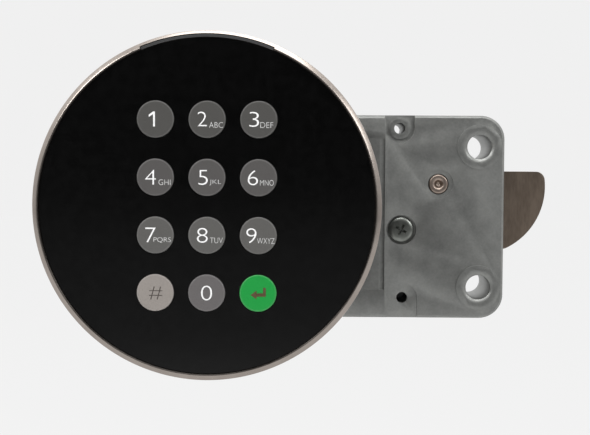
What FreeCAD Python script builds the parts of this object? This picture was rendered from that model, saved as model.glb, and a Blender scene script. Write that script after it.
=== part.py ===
import FreeCAD, Part
import math
import os
import re

import Sketcher

# Keypad deadbolt lock: a round keypad whose base plate lies on the mounting face of a die-cast lock case.
# X runs to the right along the case, Z up, and Y away from the user. The origin is the centre of the
# case's four mounting holes, on the mounting face, so the keypad is at negative Y and the lock at positive Y.

DIMENSIONS = [
    ("keypad_x", -44.2, "keypad centre from the centre of the mounting holes"),
    ("keypad_z", 3.7, "keypad centre above the centre of the mounting holes"),
    ("battery_headroom", 0.38, "battery to the keypad circuit board"),
    ("ring_radius", 47.2, "outside of the bezel ring at its front"),
    ("ring_taper", 0.5, "how much smaller the ring is at its back edge"),
    ("ring_height", 7.5, "front lip to back edge of the ring"),
    ("ring_edge", 0.35, "small chamfer outside the lip"),
    ("lip_width", 0.3, "flat crest of the lip"),
    ("bevel_depth", 0.8, "lip to panel"),
    ("bezel_width", 1.75, "outside of the ring to the hole for the panel"),
    ("panel_gap", 0.12, "panel edge to ring"),
    ("panel_thickness", 1.5, "face panel"),
    ("ledge_width", 1.55, "how far the ledge that carries the panel stands in"),
    ("ledge_thickness", 1.2, "the ledge"),
    ("skirt_wall", 1.4, "wall of the ring behind the ledge"),
    ("window_margin", 0.8, "metal outside the status window"),
    ("window_depth", 2.0, "seat of the window behind the lip"),
    ("window_sweep", 46.0, "angle of the seat, degrees"),
    ("window_gap", 0.06, "window to its seat"),
    ("key_radius", 5.0, "round key"),
    ("key_gap", 0.15, "key to panel hole"),
    ("key_proud", 0.25, "key face in front of the panel"),
    ("key_edge", 0.35, "chamfer round the key"),
    ("key_column", 13.9, "key spacing, left to right"),
    ("key_row", 15.6, "key spacing, up and down"),
    ("flange_radius", 5.9, "flange that keeps the key in"),
    ("flange_thickness", 0.7, "the flange"),
    ("flange_gap", 0.2, "flange behind the panel"),
    ("stem_radius", 1.9, "key stem"),
    ("stem_length", 1.7, "key stem behind the flange"),
    ("key_travel", 0.7, "how far a key goes in"),
    ("key_rest", 0.1, "room left when a key is pressed fully"),
    ("guide_room", 1.3, "light guide to the housing"),
    ("guide_thickness", 0.8, "light guide sheet"),
    ("guide_hole", 2.6, "hole for a key stem"),
    ("peg_radius", 1.4, "peg under the light guide"),
    ("peg_inset", 3.5, "middle of a peg to the edge of the light guide"),
    ("switch_size", 5.0, "key switch, square"),
    ("switch_body", 0.6, "key switch without its plunger"),
    ("plunger_radius", 1.3, "switch plunger"),
    ("plunger_height", 0.3, "switch plunger"),
    ("board_room", 0.9, "keypad circuit board to the housing"),
    ("board_thickness", 1.2, "keypad circuit board"),
    ("post_inset", 4.4, "middle of a board post to the edge of the board"),
    ("post_radius", 3.0, "board post"),
    ("post_high_angle", 45.0, "upper posts above the middle, degrees"),
    ("post_low_angle", 8.0, "lower posts below the middle, degrees"),
    ("board_screw_radius", 1.1, "board screw shank"),
    ("board_screw_length", 6.0, "board screw shank in the post"),
    ("board_screw_head", 2.1, "board screw head radius"),
    ("board_screw_head_height", 1.2, "board screw head"),
    ("screw_gap", 0.1, "screw shank to its clearance hole"),
    ("base_setback", 0.4, "base plate smaller than the housing"),
    ("base_thickness", 2.0, "base plate"),
    ("housing_setback", 0.3, "housing smaller than the back edge of the ring"),
    ("housing_wall", 3.1, "side wall of the rear housing"),
    ("housing_floor", 2.0, "rear wall of the housing"),
    ("spigot_gap", 0.2, "rim of the housing to the inside of the ring"),
    ("spigot_length", 3.0, "the rim"),
    ("base_hole_radius", 2.25, "screw hole in the base plate"),
    ("base_hole_spacing", 41.3, "screw holes of the base plate, up and down"),
    ("base_sink", 1.0, "countersink of those holes"),
    ("cable_hole_radius", 6.0, "cable outlet"),
    ("cable_hole_x", -12.0, "cable outlet from the keypad centre"),
    ("cable_hole_z", 26.0, "cable outlet from the keypad centre"),
    ("tab_width", 6.0, "bayonet tab"),
    ("tab_thickness", 2.0, "bayonet tab neck"),
    ("tab_reach", 1.8, "how far a tab hooks in"),
    ("tab_head", 1.4, "thickness of the hook"),
    ("tab_inset", 2.3, "outside of the tabs to the side wall"),
    ("tab_gap", 0.3, "tab to its slot"),
    ("tab_turn", 7.0, "extra slot length for the twist"),
    ("battery_width", 26.4, "battery, left to right"),
    ("battery_thickness", 17.4, "battery, front to back"),
    ("battery_height", 46.0, "battery without its terminals"),
    ("battery_end_gap", 0.72, "corner of the battery to the door"),
    ("battery_edge", 2.2, "rounded edges of the battery"),
    ("terminal_radius", 2.9, "battery terminal"),
    ("terminal_height", 2.4, "battery terminal"),
    ("terminal_spacing", 12.7, "battery terminals"),
    ("tray_wall", 1.2, "battery tray"),
    ("tray_floor", 1.0, "battery tray"),
    ("tray_gap", 0.3, "tray to base plate and housing"),
    ("tray_side", 8.0, "height of the tray's side walls"),
    ("battery_gap", 0.12, "battery to tray"),
    ("door_thickness", 2.8, "curved end of the tray"),
    ("door_grip", 16.0, "finger groove in the door"),
    ("bay_wall", 1.4, "ribs beside the battery bay"),
    ("bay_rib_height", 11.0, "ribs beside the battery bay"),
    ("contact_width", 24.0, "battery contact block"),
    ("contact_height", 2.6, "battery contact block"),
    ("chip_size", 10.0, "controller chip, square"),
    ("chip_thickness", 1.4, "controller chip"),
    ("chip_x", -23.0, "keypad chip from the keypad centre"),
    ("chip_z", 6.0, "keypad chip from the keypad centre"),
    ("buzzer_radius", 6.0, "buzzer"),
    ("buzzer_height", 5.5, "buzzer"),
    ("buzzer_x", 24.5, "buzzer from the keypad centre"),
    ("buzzer_z", 6.0, "buzzer from the keypad centre"),
    ("socket_width", 9.6, "cable socket on the keypad board"),
    ("socket_height", 7.4, "cable socket on the keypad board"),
    ("socket_depth", 6.0, "cable socket on the keypad board"),
    ("socket_wall", 1.1, "wall of either cable socket"),
    ("hole_spacing_x", 66.7, "mounting holes of the case, left to right"),
    ("hole_spacing_z", 41.3, "mounting holes of the case, up and down"),
    ("hole_radius", 3.6, "mounting hole"),
    ("hole_sink_width", 0.95, "chamfer at the mouth of a mounting hole"),
    ("hole_sink_depth", 0.45, "chamfer at the mouth of a mounting hole"),
    ("case_margin_x", 7.4, "mounting hole to the side of the case"),
    ("case_margin_z", 9.15, "mounting hole to the top or bottom of the case"),
    ("cam_room", 0.6, "cam of the bolt to the cover"),
    ("case_corner", 7.0, "corner radius"),
    ("case_chamfer", 0.9, "front edge"),
    ("case_wall", 3.0, "side walls"),
    ("case_floor", 3.0, "front wall"),
    ("face_recess", 0.4, "front wall behind the mounting face"),
    ("face_step", 0.2, "right part of the front wall, deeper"),
    ("step_x", 6.05, "where that part starts"),
    ("ring_boss_radius", 6.5, "raised ring round a mounting hole"),
    ("column_radius", 6.2, "column round a mounting hole inside the case"),
    ("top_hole_x", 9.95, "upper small hole"),
    ("top_hole_inset", 3.8, "upper small hole below the top of the case"),
    ("low_hole_x", 11.05, "lower small hole"),
    ("low_hole_inset", 5.9, "lower small hole above the bottom of the case"),
    ("small_hole_radius", 1.6, "the small holes"),
    ("small_ring_radius", 3.15, "ring round the upper small hole"),
    ("small_ring_height", 0.35, "ring round the upper small hole"),
    ("small_column", 3.6, "columns of the small holes"),
    ("notch_radius", 4.4, "notches at the small holes"),
    ("notch_depth", 1.1, "notches at the small holes"),
    ("groove_x", 4.15, "left side of the upright groove"),
    ("groove_width", 1.5, "upright groove"),
    ("groove_high_inset", 6.9, "upright groove below the top of the case"),
    ("groove_low_inset", 8.3, "upright groove above the bottom of the case"),
    ("groove_depth", 0.5, "upright groove"),
    ("pivot_offset", 0.05, "axis of the swing bolt right of the mounting holes"),
    ("pivot_room", 0.55, "hub of the bolt to the column above it"),
    ("pivot_pin_radius", 3.0, "bolt pivot pin"),
    ("pivot_fit", 0.04, "running clearance on the pivot pin"),
    ("bolt_radius", 20.35, "outer arc of the bolt"),
    ("bolt_top", 4.6, "flat top of the bolt above its axis"),
    ("bolt_sweep", 70.0, "lower end of the arc below level, degrees"),
    ("bolt_front", 5.6, "front of the bolt behind the mounting face"),
    ("bolt_thickness", 12.6, "bolt"),
    ("bolt_corner", 2.6, "rounded corners of the bolt"),
    ("hub_radius", 5.0, "hub of the bolt"),
    ("hub_neck", 3.9, "hub under the spring"),
    ("hub_gap", 0.3, "hub to case floor and cover"),
    ("cam_radius", 5.6, "round cam on the hub"),
    ("cam_offset", 2.6, "centre of the cam from the axis"),
    ("cam_angle", -96.0, "direction of that offset, degrees"),
    ("cam_thickness", 3.2, "cam"),
    ("slot_gap", 0.5, "bolt to the slot in the case"),
    ("spring_radius", 4.55, "bolt spring, middle of the wire"),
    ("wire_half", 0.32, "half the bolt spring's square wire"),
    ("spring_pitch", 0.75, "bolt spring"),
    ("spring_leg", 9.0, "fixed leg of the bolt spring"),
    ("spring_room", 0.3, "spring to the hollow round it"),
    ("spring_post_radius", 1.2, "post on the case floor for the fixed leg"),
    ("spring_post_x", -7.5, "that post from the bolt's axis"),
    ("pin_offset", 11.95, "guide pin left of the bolt's axis"),
    ("pin_rise", 0.8, "guide pin above the bolt's axis"),
    ("pin_head_radius", 2.8, "guide pin, staked end"),
    ("pin_shank_radius", 2.0, "guide pin in the slide"),
    ("pin_flange_radius", 3.7, "guide pin, inside the case"),
    ("pin_flange_thickness", 1.0, "guide pin, inside the case"),
    ("pin_hole_radius", 3.0, "guide pin hole"),
    ("pin_recess_radius", 4.3, "dish round the guide pin"),
    ("pin_recess_depth", 0.45, "dish round the guide pin"),
    ("dimple_radius", 1.1, "dimple in the guide pin"),
    ("dimple_depth", 0.7, "dimple in the guide pin"),
    ("slide_lift", 0.7, "front of the locking slide behind the front of the cam"),
    ("slide_thickness", 2.4, "locking slide"),
    ("slide_below", 4.5, "locking slide below the bolt's axis"),
    ("slide_above", 5.5, "locking slide above the bolt's axis"),
    ("slide_nose_gap", 0.25, "nose of the slide to the cam"),
    ("prong_offset", 8.4, "end of the upper prong left of the bolt's axis"),
    ("slide_slot_gap", 0.3, "guide pin to its slot"),
    ("drive_y", 12.5, "axis of motor and drive screw"),
    ("nut_offset", 6.5, "nut block from the motor's output face"),
    ("nut_length", 6.0, "nut block of the slide"),
    ("nut_half", 4.0, "half the height of the nut block"),
    ("screw_radius", 1.5, "drive screw"),
    ("screw_fit", 0.06, "drive screw to nut and bearing"),
    ("collar_radius", 2.6, "collar on the drive screw"),
    ("collar_length", 1.6, "collar on the drive screw"),
    ("motor_radius", 6.0, "motor"),
    ("motor_length", 21.0, "motor"),
    ("motor_inset", 27.25, "motor's output face from the case's left side"),
    ("motor_flat", 5.0, "half the motor between its flats"),
    ("boss_radius", 2.5, "motor's bearing boss"),
    ("motor_gap", 0.3, "motor to collar"),
    ("cradle_wall", 1.0, "motor cradle"),
    ("cradle_inset", 4.5, "cradle short of the motor at each end"),
    ("block_x", 6.2, "left side of the bearing block"),
    ("block_length", 4.8, "bearing block along the screw"),
    ("block_half", 4.5, "half the height of the block's upright"),
    ("block_room", 2.1, "back of the bearing block to the locking slide"),
    ("foot_length", 8.2, "foot of the bearing block"),
    ("foot_back", 9.0, "back of the foot"),
    ("foot_below", 4.5, "foot of the block below its screw"),
    ("foot_above", 4.0, "wide foot of the block above its screw"),
    ("block_screw_x", 10.65, "block screw"),
    ("block_screw_drop", 12.7, "block screw below the drive screw"),
    ("block_screw_head", 3.65, "block screw head"),
    ("block_screw_head_height", 1.4, "block screw head"),
    ("block_screw_radius", 2.0, "block screw shank"),
    ("block_screw_length", 6.4, "block screw shank"),
    ("block_screw_turn", 28.0, "how the cross stands, degrees"),
    ("cross_length", 4.2, "cross recess"),
    ("cross_width", 1.0, "cross recess"),
    ("cross_depth", 0.9, "cross recess"),
    ("counterbore_radius", 4.35, "counterbore for the block screw"),
    ("counterbore_depth", 1.6, "counterbore for the block screw"),
    ("cover_thickness", 2.0, "lock cover"),
    ("cover_hole", 5.0, "mounting hole in the cover"),
    ("cover_edge", 0.6, "back edge of the cover"),
    ("cover_screw_x", -15.0, "left pair of cover screws"),
    ("cover_screw_inset", 6.2, "left pair of cover screws from top and bottom"),
    ("cover_screw_radius", 1.5, "cover screw shank"),
    ("cover_screw_head", 2.8, "cover screw head"),
    ("cover_screw_head_height", 1.4, "cover screw head"),
    ("cover_screw_length", 10.0, "cover screw"),
    ("lock_board_inset", 4.25, "lock circuit board from the case's left side"),
    ("lock_board_right", 2.0, "lock circuit board"),
    ("board_margin", 1.2, "lock circuit board below the jack"),
    ("motor_room", 2.5, "motor to the lock circuit board's upper edge"),
    ("lock_board_front", 5.4, "lock circuit board behind the mounting face"),
    ("lock_board_thickness", 1.6, "lock circuit board"),
    ("lock_post_radius", 2.4, "posts under the lock board"),
    ("lock_screw_length", 3.5, "lock board screw in its post"),
    ("lock_post_left", -19.4, "left post of the lock board"),
    ("lock_post_right", -1.6, "right post of the lock board"),
    ("lock_chip_x", -15.0, "left side of the lock chip"),
    ("lock_chip_rise", 2.3, "lock chip above the board's lower edge"),
    ("lock_chip_size", 9.0, "lock chip, square"),
    ("jack_length", 13.0, "cable jack"),
    ("jack_depth", 10.0, "cable jack, front to back"),
    ("jack_height", 10.4, "cable jack, up and down"),
    ("jack_room", 1.85, "jack above the column round the mounting hole"),
    ("jack_cavity", 10.5, "depth of the jack's mouth"),
    ("jack_gap", 0.15, "jack to the case wall"),
    ("switch_x", 11.5, "bolt switch"),
    ("switch_room", 1.7, "bolt switch below the foot of the bearing block"),
    ("switch_length", 10.0, "bolt switch"),
    ("switch_height", 6.0, "bolt switch"),
    ("switch_depth", 6.0, "bolt switch"),
    ("blade_length", 1.2, "sensing blade of the bolt switch"),
    ("blade_depth", 3.0, "sensing blade of the bolt switch"),
]

# What seats on, fits in or lines up with something else follows from the sizes above.
DERIVED = {
    "panel_opening": "ring_radius - bezel_width",
    "ledge_radius": "panel_opening - ledge_width",
    "skirt_inner": "ring_radius - ring_taper - skirt_wall",
    "window_radius": "ring_radius - window_margin",
    "spigot_radius": "skirt_inner - spigot_gap",
    "housing_radius": "ring_radius - ring_taper - housing_setback",
    "housing_inner": "housing_radius - housing_wall",
    "base_radius": "housing_radius - base_setback",
    "guide_radius": "housing_inner - guide_room",
    "peg_circle": "guide_radius - peg_inset",
    "board_radius": "housing_inner - board_room",
    "post_circle": "board_radius - post_inset",
    "tab_circle": "housing_inner - tab_inset",
    "battery_reach": "housing_radius - door_thickness - battery_end_gap",
    "battery_top": "battery_height - sqrt(battery_reach ^ 2 - (battery_width / 2) ^ 2)",
    "case_width": "hole_spacing_x + 2 * case_margin_x",
    "case_height": "hole_spacing_z + 2 * case_margin_z",
    "top_hole_z": "case_height / 2 - top_hole_inset",
    "low_hole_z": "low_hole_inset - case_height / 2",
    "cover_screw_z": "case_height / 2 - cover_screw_inset",
    "groove_top": "case_height / 2 - groove_high_inset",
    "groove_bottom": "groove_low_inset - case_height / 2",
    "pivot_x": "hole_spacing_x / 2 + pivot_offset",
    "pin_x": "pivot_x - pin_offset",
    "slide_prong": "pivot_x - prong_offset",
    "lock_board_left": "lock_board_inset - case_width / 2",
    "motor_front": "motor_inset - case_width / 2",
    "nut_left": "motor_front + nut_offset",
    "keypad_depth": "base_thickness + tray_gap + tray_floor + battery_gap + battery_thickness + keypad_stack",
    "keypad_stack": "battery_headroom + board_thickness + plunger_height + switch_body + key_rest + key_stack",
    "key_stack": "key_travel + stem_length + flange_thickness + flange_gap + panel_thickness + bevel_depth",
    "case_depth": "bolt_front + bolt_thickness + cam_thickness + cam_room",
    "pivot_z": "hole_spacing_z / 2 - column_radius - hub_radius - pivot_room",
    "pin_z": "pivot_z + pin_rise",
    "drive_z": "pivot_z",
    "slide_front": "bolt_front + bolt_thickness + slide_lift",
    "slide_low": "pivot_z - slide_below",
    "slide_high": "pivot_z + slide_above",
    "block_screw_z": "drive_z - block_screw_drop",
    "foot_low": "block_screw_z - foot_below",
    "foot_high": "block_screw_z + foot_above",
    "jack_low": "column_radius + jack_room - hole_spacing_z / 2",
    "lock_board_low": "jack_low - board_margin",
    "lock_board_high": "drive_z - motor_radius - motor_room",
    "lock_post_z": "(lock_board_low + lock_board_high) / 2",
    "lock_chip_z": "lock_board_low + lock_chip_rise",
    "block_back": "slide_front - block_room",
    "switch_z": "foot_low - switch_height - switch_room",
}

KEY_NAMES = (
    ("key_1", "key_2", "key_3"),
    ("key_4", "key_5", "key_6"),
    ("key_7", "key_8", "key_9"),
    ("key_hash", "key_0", "key_enter"),
)

doc = FreeCAD.newDocument("keypad_lock")
sizes = doc.addObject("Spreadsheet::Sheet", "sizes")
for row, (name, value, note) in enumerate(DIMENSIONS, 1):
    sizes.set(f"A{row}", name)
    sizes.set(f"B{row}", str(value))
    sizes.setAlias(f"B{row}", name)
    sizes.set(f"C{row}", note)
doc.recompute()

NAMES = {name for name, _, _ in DIMENSIONS}
pieces = []


def formula(text):
    """A formula in which each dimension's name points at the sheet."""

    def swap(match):
        word = match[0]
        if word in DERIVED:
            return "(" + formula(DERIVED[word]) + ")"
        return "sizes." + word if word in NAMES else word

    return re.sub(r"[a-z]\w*", swap, text)


def number(text):
    """What a formula gives at present."""
    return float(sizes.evalExpression(formula(text)))


# Depths of the keypad's layers, each measured forward from the mounting face.
PANEL_FRONT = "keypad_depth - bevel_depth"
PANEL_BACK = f"({PANEL_FRONT} - panel_thickness)"
RING_BACK = "(keypad_depth - ring_height)"
FLANGE_BACK = f"({PANEL_BACK} - flange_gap - flange_thickness)"
GUIDE_FRONT = f"({FLANGE_BACK} - key_travel - key_rest)"
GUIDE_BACK = f"({GUIDE_FRONT} - guide_thickness)"
SWITCH_FRONT = f"({FLANGE_BACK} - stem_length - key_travel - key_rest)"
BOARD_FRONT = f"({SWITCH_FRONT} - switch_body - plunger_height)"
BOARD_BACK = f"({BOARD_FRONT} - board_thickness)"
FLOOR_FRONT = "(base_thickness + housing_floor)"
TRAY_BACK = "(base_thickness + tray_gap)"
TRAY_FRONT = f"({RING_BACK} - tray_gap)"
BATTERY_BACK = f"({TRAY_BACK} + tray_floor + battery_gap)"
TRAY_HALF = "(battery_width / 2 + battery_gap + tray_wall)"
TRAY_TOP = "(battery_top + terminal_height)"

# Depths of the lock's layers, each measured back from the mounting face.
FLOOR_INSIDE = "(face_recess + case_floor)"
HUB_FRONT = f"({FLOOR_INSIDE} + hub_gap)"
HUB_BACK = "(case_depth - hub_gap)"
CAM_FRONT = "(bolt_front + bolt_thickness)"
BOARD_SIDE = "(lock_board_front + lock_board_thickness)"
NOSE_X = "(pivot_x + cam_offset * cos(cam_angle) - cam_radius - slide_nose_gap)"
SCREW_END = "(block_x + block_length - hub_gap)"


def new_body(label, x="0", y="0", z="0"):
    """An empty body whose own origin lies at the place that three formulas give."""
    body = doc.addObject("PartDesign::Body", label)
    for axis, text in zip("xyz", (x, y, z)):
        body.setExpression(f"Placement.Base.{axis}", formula(text))
    pieces.append(body)
    return body


def keypad_body(label, x="0", z="0"):
    """A body that is drawn about the keypad's centre, or about a place given from it."""
    return new_body(label, f"keypad_x + {x}", "0", f"keypad_z + {z}")


def sketch(body, plane, name, at="0"):
    """An empty sketch on one of the body's own planes, moved along the plane's normal."""
    drawn = body.newObject("Sketcher::SketchObject", name)
    support = [o for o in body.Origin.OriginFeatures if o.Role == plane][0]
    drawn.AttachmentSupport = [(support, "")]
    drawn.MapMode = "FlatFace"
    drawn.setExpression("AttachmentOffset.Base.z", formula(at))
    return drawn


def hold(drawn, kind, text, *where):
    """One dimension of a sketch, tied to a formula."""
    index = drawn.addConstraint(Sketcher.Constraint(kind, *where, number(text)))
    drawn.setExpression(f"Constraints[{index}]", formula(text))


def place(drawn, shape, point, x, y):
    """Hold one point of the sketch at the place that two formulas give."""
    hold(drawn, "DistanceX", x, -1, 1, shape, point)
    hold(drawn, "DistanceY", y, -1, 1, shape, point)


def circle(drawn, x, y, radius):
    """A circle at the place that two formulas give."""
    centre = FreeCAD.Vector(number(x), number(y), 0)
    shape = drawn.addGeometry(Part.Circle(centre, FreeCAD.Vector(0, 0, 1), number(radius)), False)
    place(drawn, shape, 3, x, y)
    hold(drawn, "Radius", radius, shape)


def outline(drawn, corners):
    """A closed outline of straight lines through corners, each given by two formulas."""
    spots = [FreeCAD.Vector(number(x), number(y), 0) for x, y in corners]
    first = drawn.GeometryCount
    for k, spot in enumerate(spots):
        drawn.addGeometry(Part.LineSegment(spot, spots[(k + 1) % len(spots)]), False)
    for k, (x, y) in enumerate(corners):
        after = first + (k + 1) % len(spots)
        drawn.addConstraint(Sketcher.Constraint("Coincident", first + k, 2, after, 1))
        place(drawn, first + k, 1, x, y)


def rectangle(drawn, left, low, right, high):
    """A rectangle between four formulas."""
    outline(drawn, ((left, low), (right, low), (right, high), (left, high)))


def pad(body, drawn, length, back=False):
    """Material raised from a sketch, along its normal or, with back, against it."""
    raised = body.newObject("PartDesign::Pad", f"{drawn.Name}_pad")
    raised.Profile = drawn
    raised.Reversed = back
    raised.setExpression("Length", formula(length))
    return raised


def pocket(body, drawn, length, along=False):
    """Material cut away from a sketch, against its normal or, with along, the same way."""
    doc.recompute()
    before = body.Shape.Volume
    cut = body.newObject("PartDesign::Pocket", f"{drawn.Name}_pocket")
    cut.Profile = drawn
    cut.Reversed = along
    cut.setExpression("Length", formula(length))
    doc.recompute()
    if body.Shape.Volume > before - 1e-6:
        raise ValueError(f"{cut.Name} cuts nothing")
    return cut


def revolve(body, drawn, turn="360", kind="PartDesign::Revolution"):
    """A profile turned about the sketch's level axis, half to each side where it isn't a full turn."""
    turned = body.newObject(kind, f"{drawn.Name}_turned")
    turned.Profile = drawn
    turned.ReferenceAxis = (drawn, ["H_Axis"])
    turned.Midplane = turn != "360"
    turned.setExpression("Angle", formula(turn))
    return turned


def edge_names(shape, wanted):
    """The names of the edges that a test picks."""
    return [f"Edge{k}" for k, edge in enumerate(shape.Edges, 1) if wanted(edge)]


def dress(body, kind, size, wanted):
    """A fillet or chamfer on the edges that a test picks."""
    doc.recompute()
    base = body.Tip
    dressed = body.newObject(f"PartDesign::{kind}", f"{body.Name}_{kind.lower()}")
    dressed.Base = (base, edge_names(base.Shape, wanted))
    dressed.setExpression("Radius" if kind == "Fillet" else "Size", formula(size))
    return dressed


def along(axis):
    """A test for straight edges that run along one axis, given as 0, 1 or 2 for X, Y or Z."""
    def test(edge):
        if edge.Curve.TypeId != "Part::GeomLine":
            return False
        return abs(abs(edge.Curve.Direction[axis]) - 1) < 1e-6
    return test


def level_at(text):
    """A test for edges that lie wholly at one depth, given by a formula."""
    y = number(text)
    return lambda edge: abs(edge.BoundBox.YMin - y) < 1e-6 and abs(edge.BoundBox.YMax - y) < 1e-6


def rims_at(y_text, radius_text):
    """A test for whole circles of one radius at one depth."""
    y, radius = number(y_text), number(radius_text)

    def test(edge):
        if edge.Curve.TypeId != "Part::GeomCircle" or not edge.isClosed():
            return False
        return abs(edge.Curve.Radius - radius) < 1e-6 and abs(edge.Curve.Center.y - y) < 1e-6
    return test


def around(body, feature, copies):
    """Copies of a feature, evenly spaced round the body's own Y axis."""
    pattern = body.newObject("PartDesign::PolarPattern", f"{feature.Name}_pattern")
    pattern.Originals = [feature]
    axis = [o for o in body.Origin.OriginFeatures if o.Role == "Y_Axis"][0]
    pattern.Axis = (axis, [""])
    pattern.Angle = 360
    pattern.Occurrences = copies
    body.Tip = pattern
    return pattern


def primitive(kind, name, at, turn=None, **measures):
    """A Part primitive at the place that three formulas give, turned if need be."""
    made = doc.addObject(f"Part::{kind}", name)
    if turn:
        made.Placement = FreeCAD.Placement(FreeCAD.Vector(), turn)
    for axis, text in zip("xyz", at):
        made.setExpression(f"Placement.Base.{axis}", formula(text))
    for measure, text in measures.items():
        made.setExpression(measure, formula(text))
    return made


def block(name, low, high):
    """A box between two corners, each given by three formulas."""
    spans = [f"({b}) - ({a})" for a, b in zip(low, high)]
    return primitive("Box", name, low, Length=spans[0], Width=spans[1], Height=spans[2])


TO_BACK = FreeCAD.Rotation(FreeCAD.Vector(1, 0, 0), -90)
TO_RIGHT = FreeCAD.Rotation(FreeCAD.Vector(0, 1, 0), 90)


def rod(name, start, length, radius, turn):
    """A cylinder that runs to the back or to the right from the place that three formulas give."""
    return primitive("Cylinder", name, start, turn, Radius=radius, Height=length)


def combine(kind, name, first, second):
    """One solid cut by, kept within or joined to another."""
    made = doc.addObject(f"Part::{kind}", name)
    made.Base = first
    made.Tool = second
    return made


def gather(kind, name, members):
    """Several solids joined, or kept as one group."""
    made = doc.addObject(f"Part::{kind}", name)
    if kind == "Compound":
        made.Links = members
    else:
        made.Shapes = members
    return made


def key_places():
    """Each key's name, with its place from the keypad's centre as two formulas."""
    for row, names in enumerate(KEY_NAMES):
        for column, name in enumerate(names):
            yield name, f"({column - 1}) * key_column", f"({1.5 - row}) * key_row"


def board_posts():
    """Where the four posts of the keypad board stand, from the keypad's centre."""
    for side in (-1, 1):
        for angle in ("post_high_angle", "-1 * post_low_angle"):
            yield f"{side} * post_circle * cos({angle})", f"post_circle * sin({angle})"


def mounting_holes():
    """Where the four mounting holes of the case lie."""
    for side in (-1, 1):
        for end in (-1, 1):
            yield f"{side} * hole_spacing_x / 2", f"{end} * hole_spacing_z / 2"


def cover_screw_places():
    """Where the cover's screws go into the case: a left pair, and one behind the lower small hole."""
    yield "cover_screw_x", "cover_screw_z"
    yield "cover_screw_x", "-1 * cover_screw_z"
    yield "low_hole_x", "low_hole_z"


def bezel_ring():
    """Turned metal ring: a bright lip, a bevel down to the panel, a ledge and a skirt over the housing."""
    body = keypad_body("bezel_ring")
    profile = sketch(body, "YZ_Plane", "ring_profile")
    crest = "ring_radius - ring_edge"
    outline(profile, (
        (f"-1 * {RING_BACK}", "ring_radius - ring_taper"),
        ("ring_edge - keypad_depth", "ring_radius"),
        ("-1 * keypad_depth", crest),
        ("-1 * keypad_depth", f"{crest} - lip_width"),
        (f"-1 * ({PANEL_FRONT})", "panel_opening"),
        (f"-1 * {PANEL_BACK}", "panel_opening"),
        (f"-1 * {PANEL_BACK}", "ledge_radius"),
        (f"ledge_thickness - {PANEL_BACK}", "ledge_radius"),
        (f"ledge_thickness - {PANEL_BACK}", "skirt_inner"),
        (f"-1 * {RING_BACK}", "skirt_inner"),
    ))
    revolve(body, profile)
    seat = sketch(body, "YZ_Plane", "window_seat")
    rectangle(seat, "-1 * keypad_depth - 1", "panel_opening - 1", "window_depth - keypad_depth", "window_radius")
    revolve(body, seat, "window_sweep", "PartDesign::Groove")


def status_window():
    """Smoked arc at the top of the ring, its face in line with the ring's bevel."""
    body = keypad_body("status_window")
    inner = "(panel_opening + window_gap)"
    outer = "(window_radius - window_gap)"
    slope = "(bevel_depth / (ring_radius - ring_edge - lip_width - panel_opening))"
    profile = sketch(body, "YZ_Plane", "window_profile")
    outline(profile, (
        ("window_depth - keypad_depth", inner),
        ("window_depth - keypad_depth", outer),
        (f"-1 * ({PANEL_FRONT}) - {slope} * ({outer} - panel_opening)", outer),
        (f"-1 * ({PANEL_FRONT}) - {slope} * ({inner} - panel_opening)", inner),
    ))
    revolve(body, profile, "window_sweep - 0.3")


def face_panel():
    """Black disc with a hole for each key."""
    body = keypad_body("face_panel")
    disc = sketch(body, "XZ_Plane", "panel_disc", PANEL_FRONT)
    circle(disc, "0", "0", "panel_opening - panel_gap")
    pad(body, disc, "panel_thickness", back=True)
    holes = sketch(body, "XZ_Plane", "panel_holes", PANEL_FRONT)
    for _, x, z in key_places():
        circle(holes, x, z, "key_radius + key_gap")
    pocket(body, holes, "panel_thickness")


def keys():
    """Twelve round caps, each with a flange that keeps it behind the panel and a stem for its switch."""
    front = f"({PANEL_FRONT} + key_proud)"
    for name, x, z in key_places():
        body = keypad_body(name, x, z)
        profile = sketch(body, "YZ_Plane", f"{name}_profile")
        outline(profile, (
            (f"-1 * {front}", "0"),
            (f"-1 * {front}", "key_radius - key_edge"),
            (f"key_edge - {front}", "key_radius"),
            (f"flange_gap - {PANEL_BACK}", "key_radius"),
            (f"flange_gap - {PANEL_BACK}", "flange_radius"),
            (f"-1 * {FLANGE_BACK}", "flange_radius"),
            (f"-1 * {FLANGE_BACK}", "stem_radius"),
            (f"stem_length - {FLANGE_BACK}", "stem_radius"),
            (f"stem_length - {FLANGE_BACK}", "0"),
        ))
        revolve(body, profile)


def light_guide():
    """Clear sheet behind the keys, on six pegs that stand on the board."""
    body = keypad_body("light_guide")
    sheet = sketch(body, "XZ_Plane", "guide_sheet", GUIDE_BACK)
    circle(sheet, "0", "0", "guide_radius")
    for _, x, z in key_places():
        circle(sheet, x, z, "guide_hole")
    pad(body, sheet, "guide_thickness")
    peg = sketch(body, "XZ_Plane", "guide_peg", GUIDE_BACK)
    circle(peg, "0", "peg_circle", "peg_radius")
    around(body, pad(body, peg, f"{GUIDE_BACK} - {BOARD_FRONT}", back=True), 6)


def key_switches():
    """One low push switch on the board behind each key."""
    made = []
    for name, x, z in key_places():
        x, z = f"(keypad_x + {x})", f"(keypad_z + {z})"
        low = (f"{x} - switch_size / 2", f"-1 * {BOARD_FRONT} - switch_body", f"{z} - switch_size / 2")
        high = (f"{x} + switch_size / 2", f"-1 * {BOARD_FRONT}", f"{z} + switch_size / 2")
        square = block(f"{name}_switch_body", low, high)
        start = (x, f"-1 * {SWITCH_FRONT}", z)
        plunger = rod(f"{name}_plunger", start, "plunger_height", "plunger_radius", TO_BACK)
        made.append(gather("MultiFuse", f"{name}_switch", [square, plunger]))
    pieces.append(gather("Compound", "key_switches", made))


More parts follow.
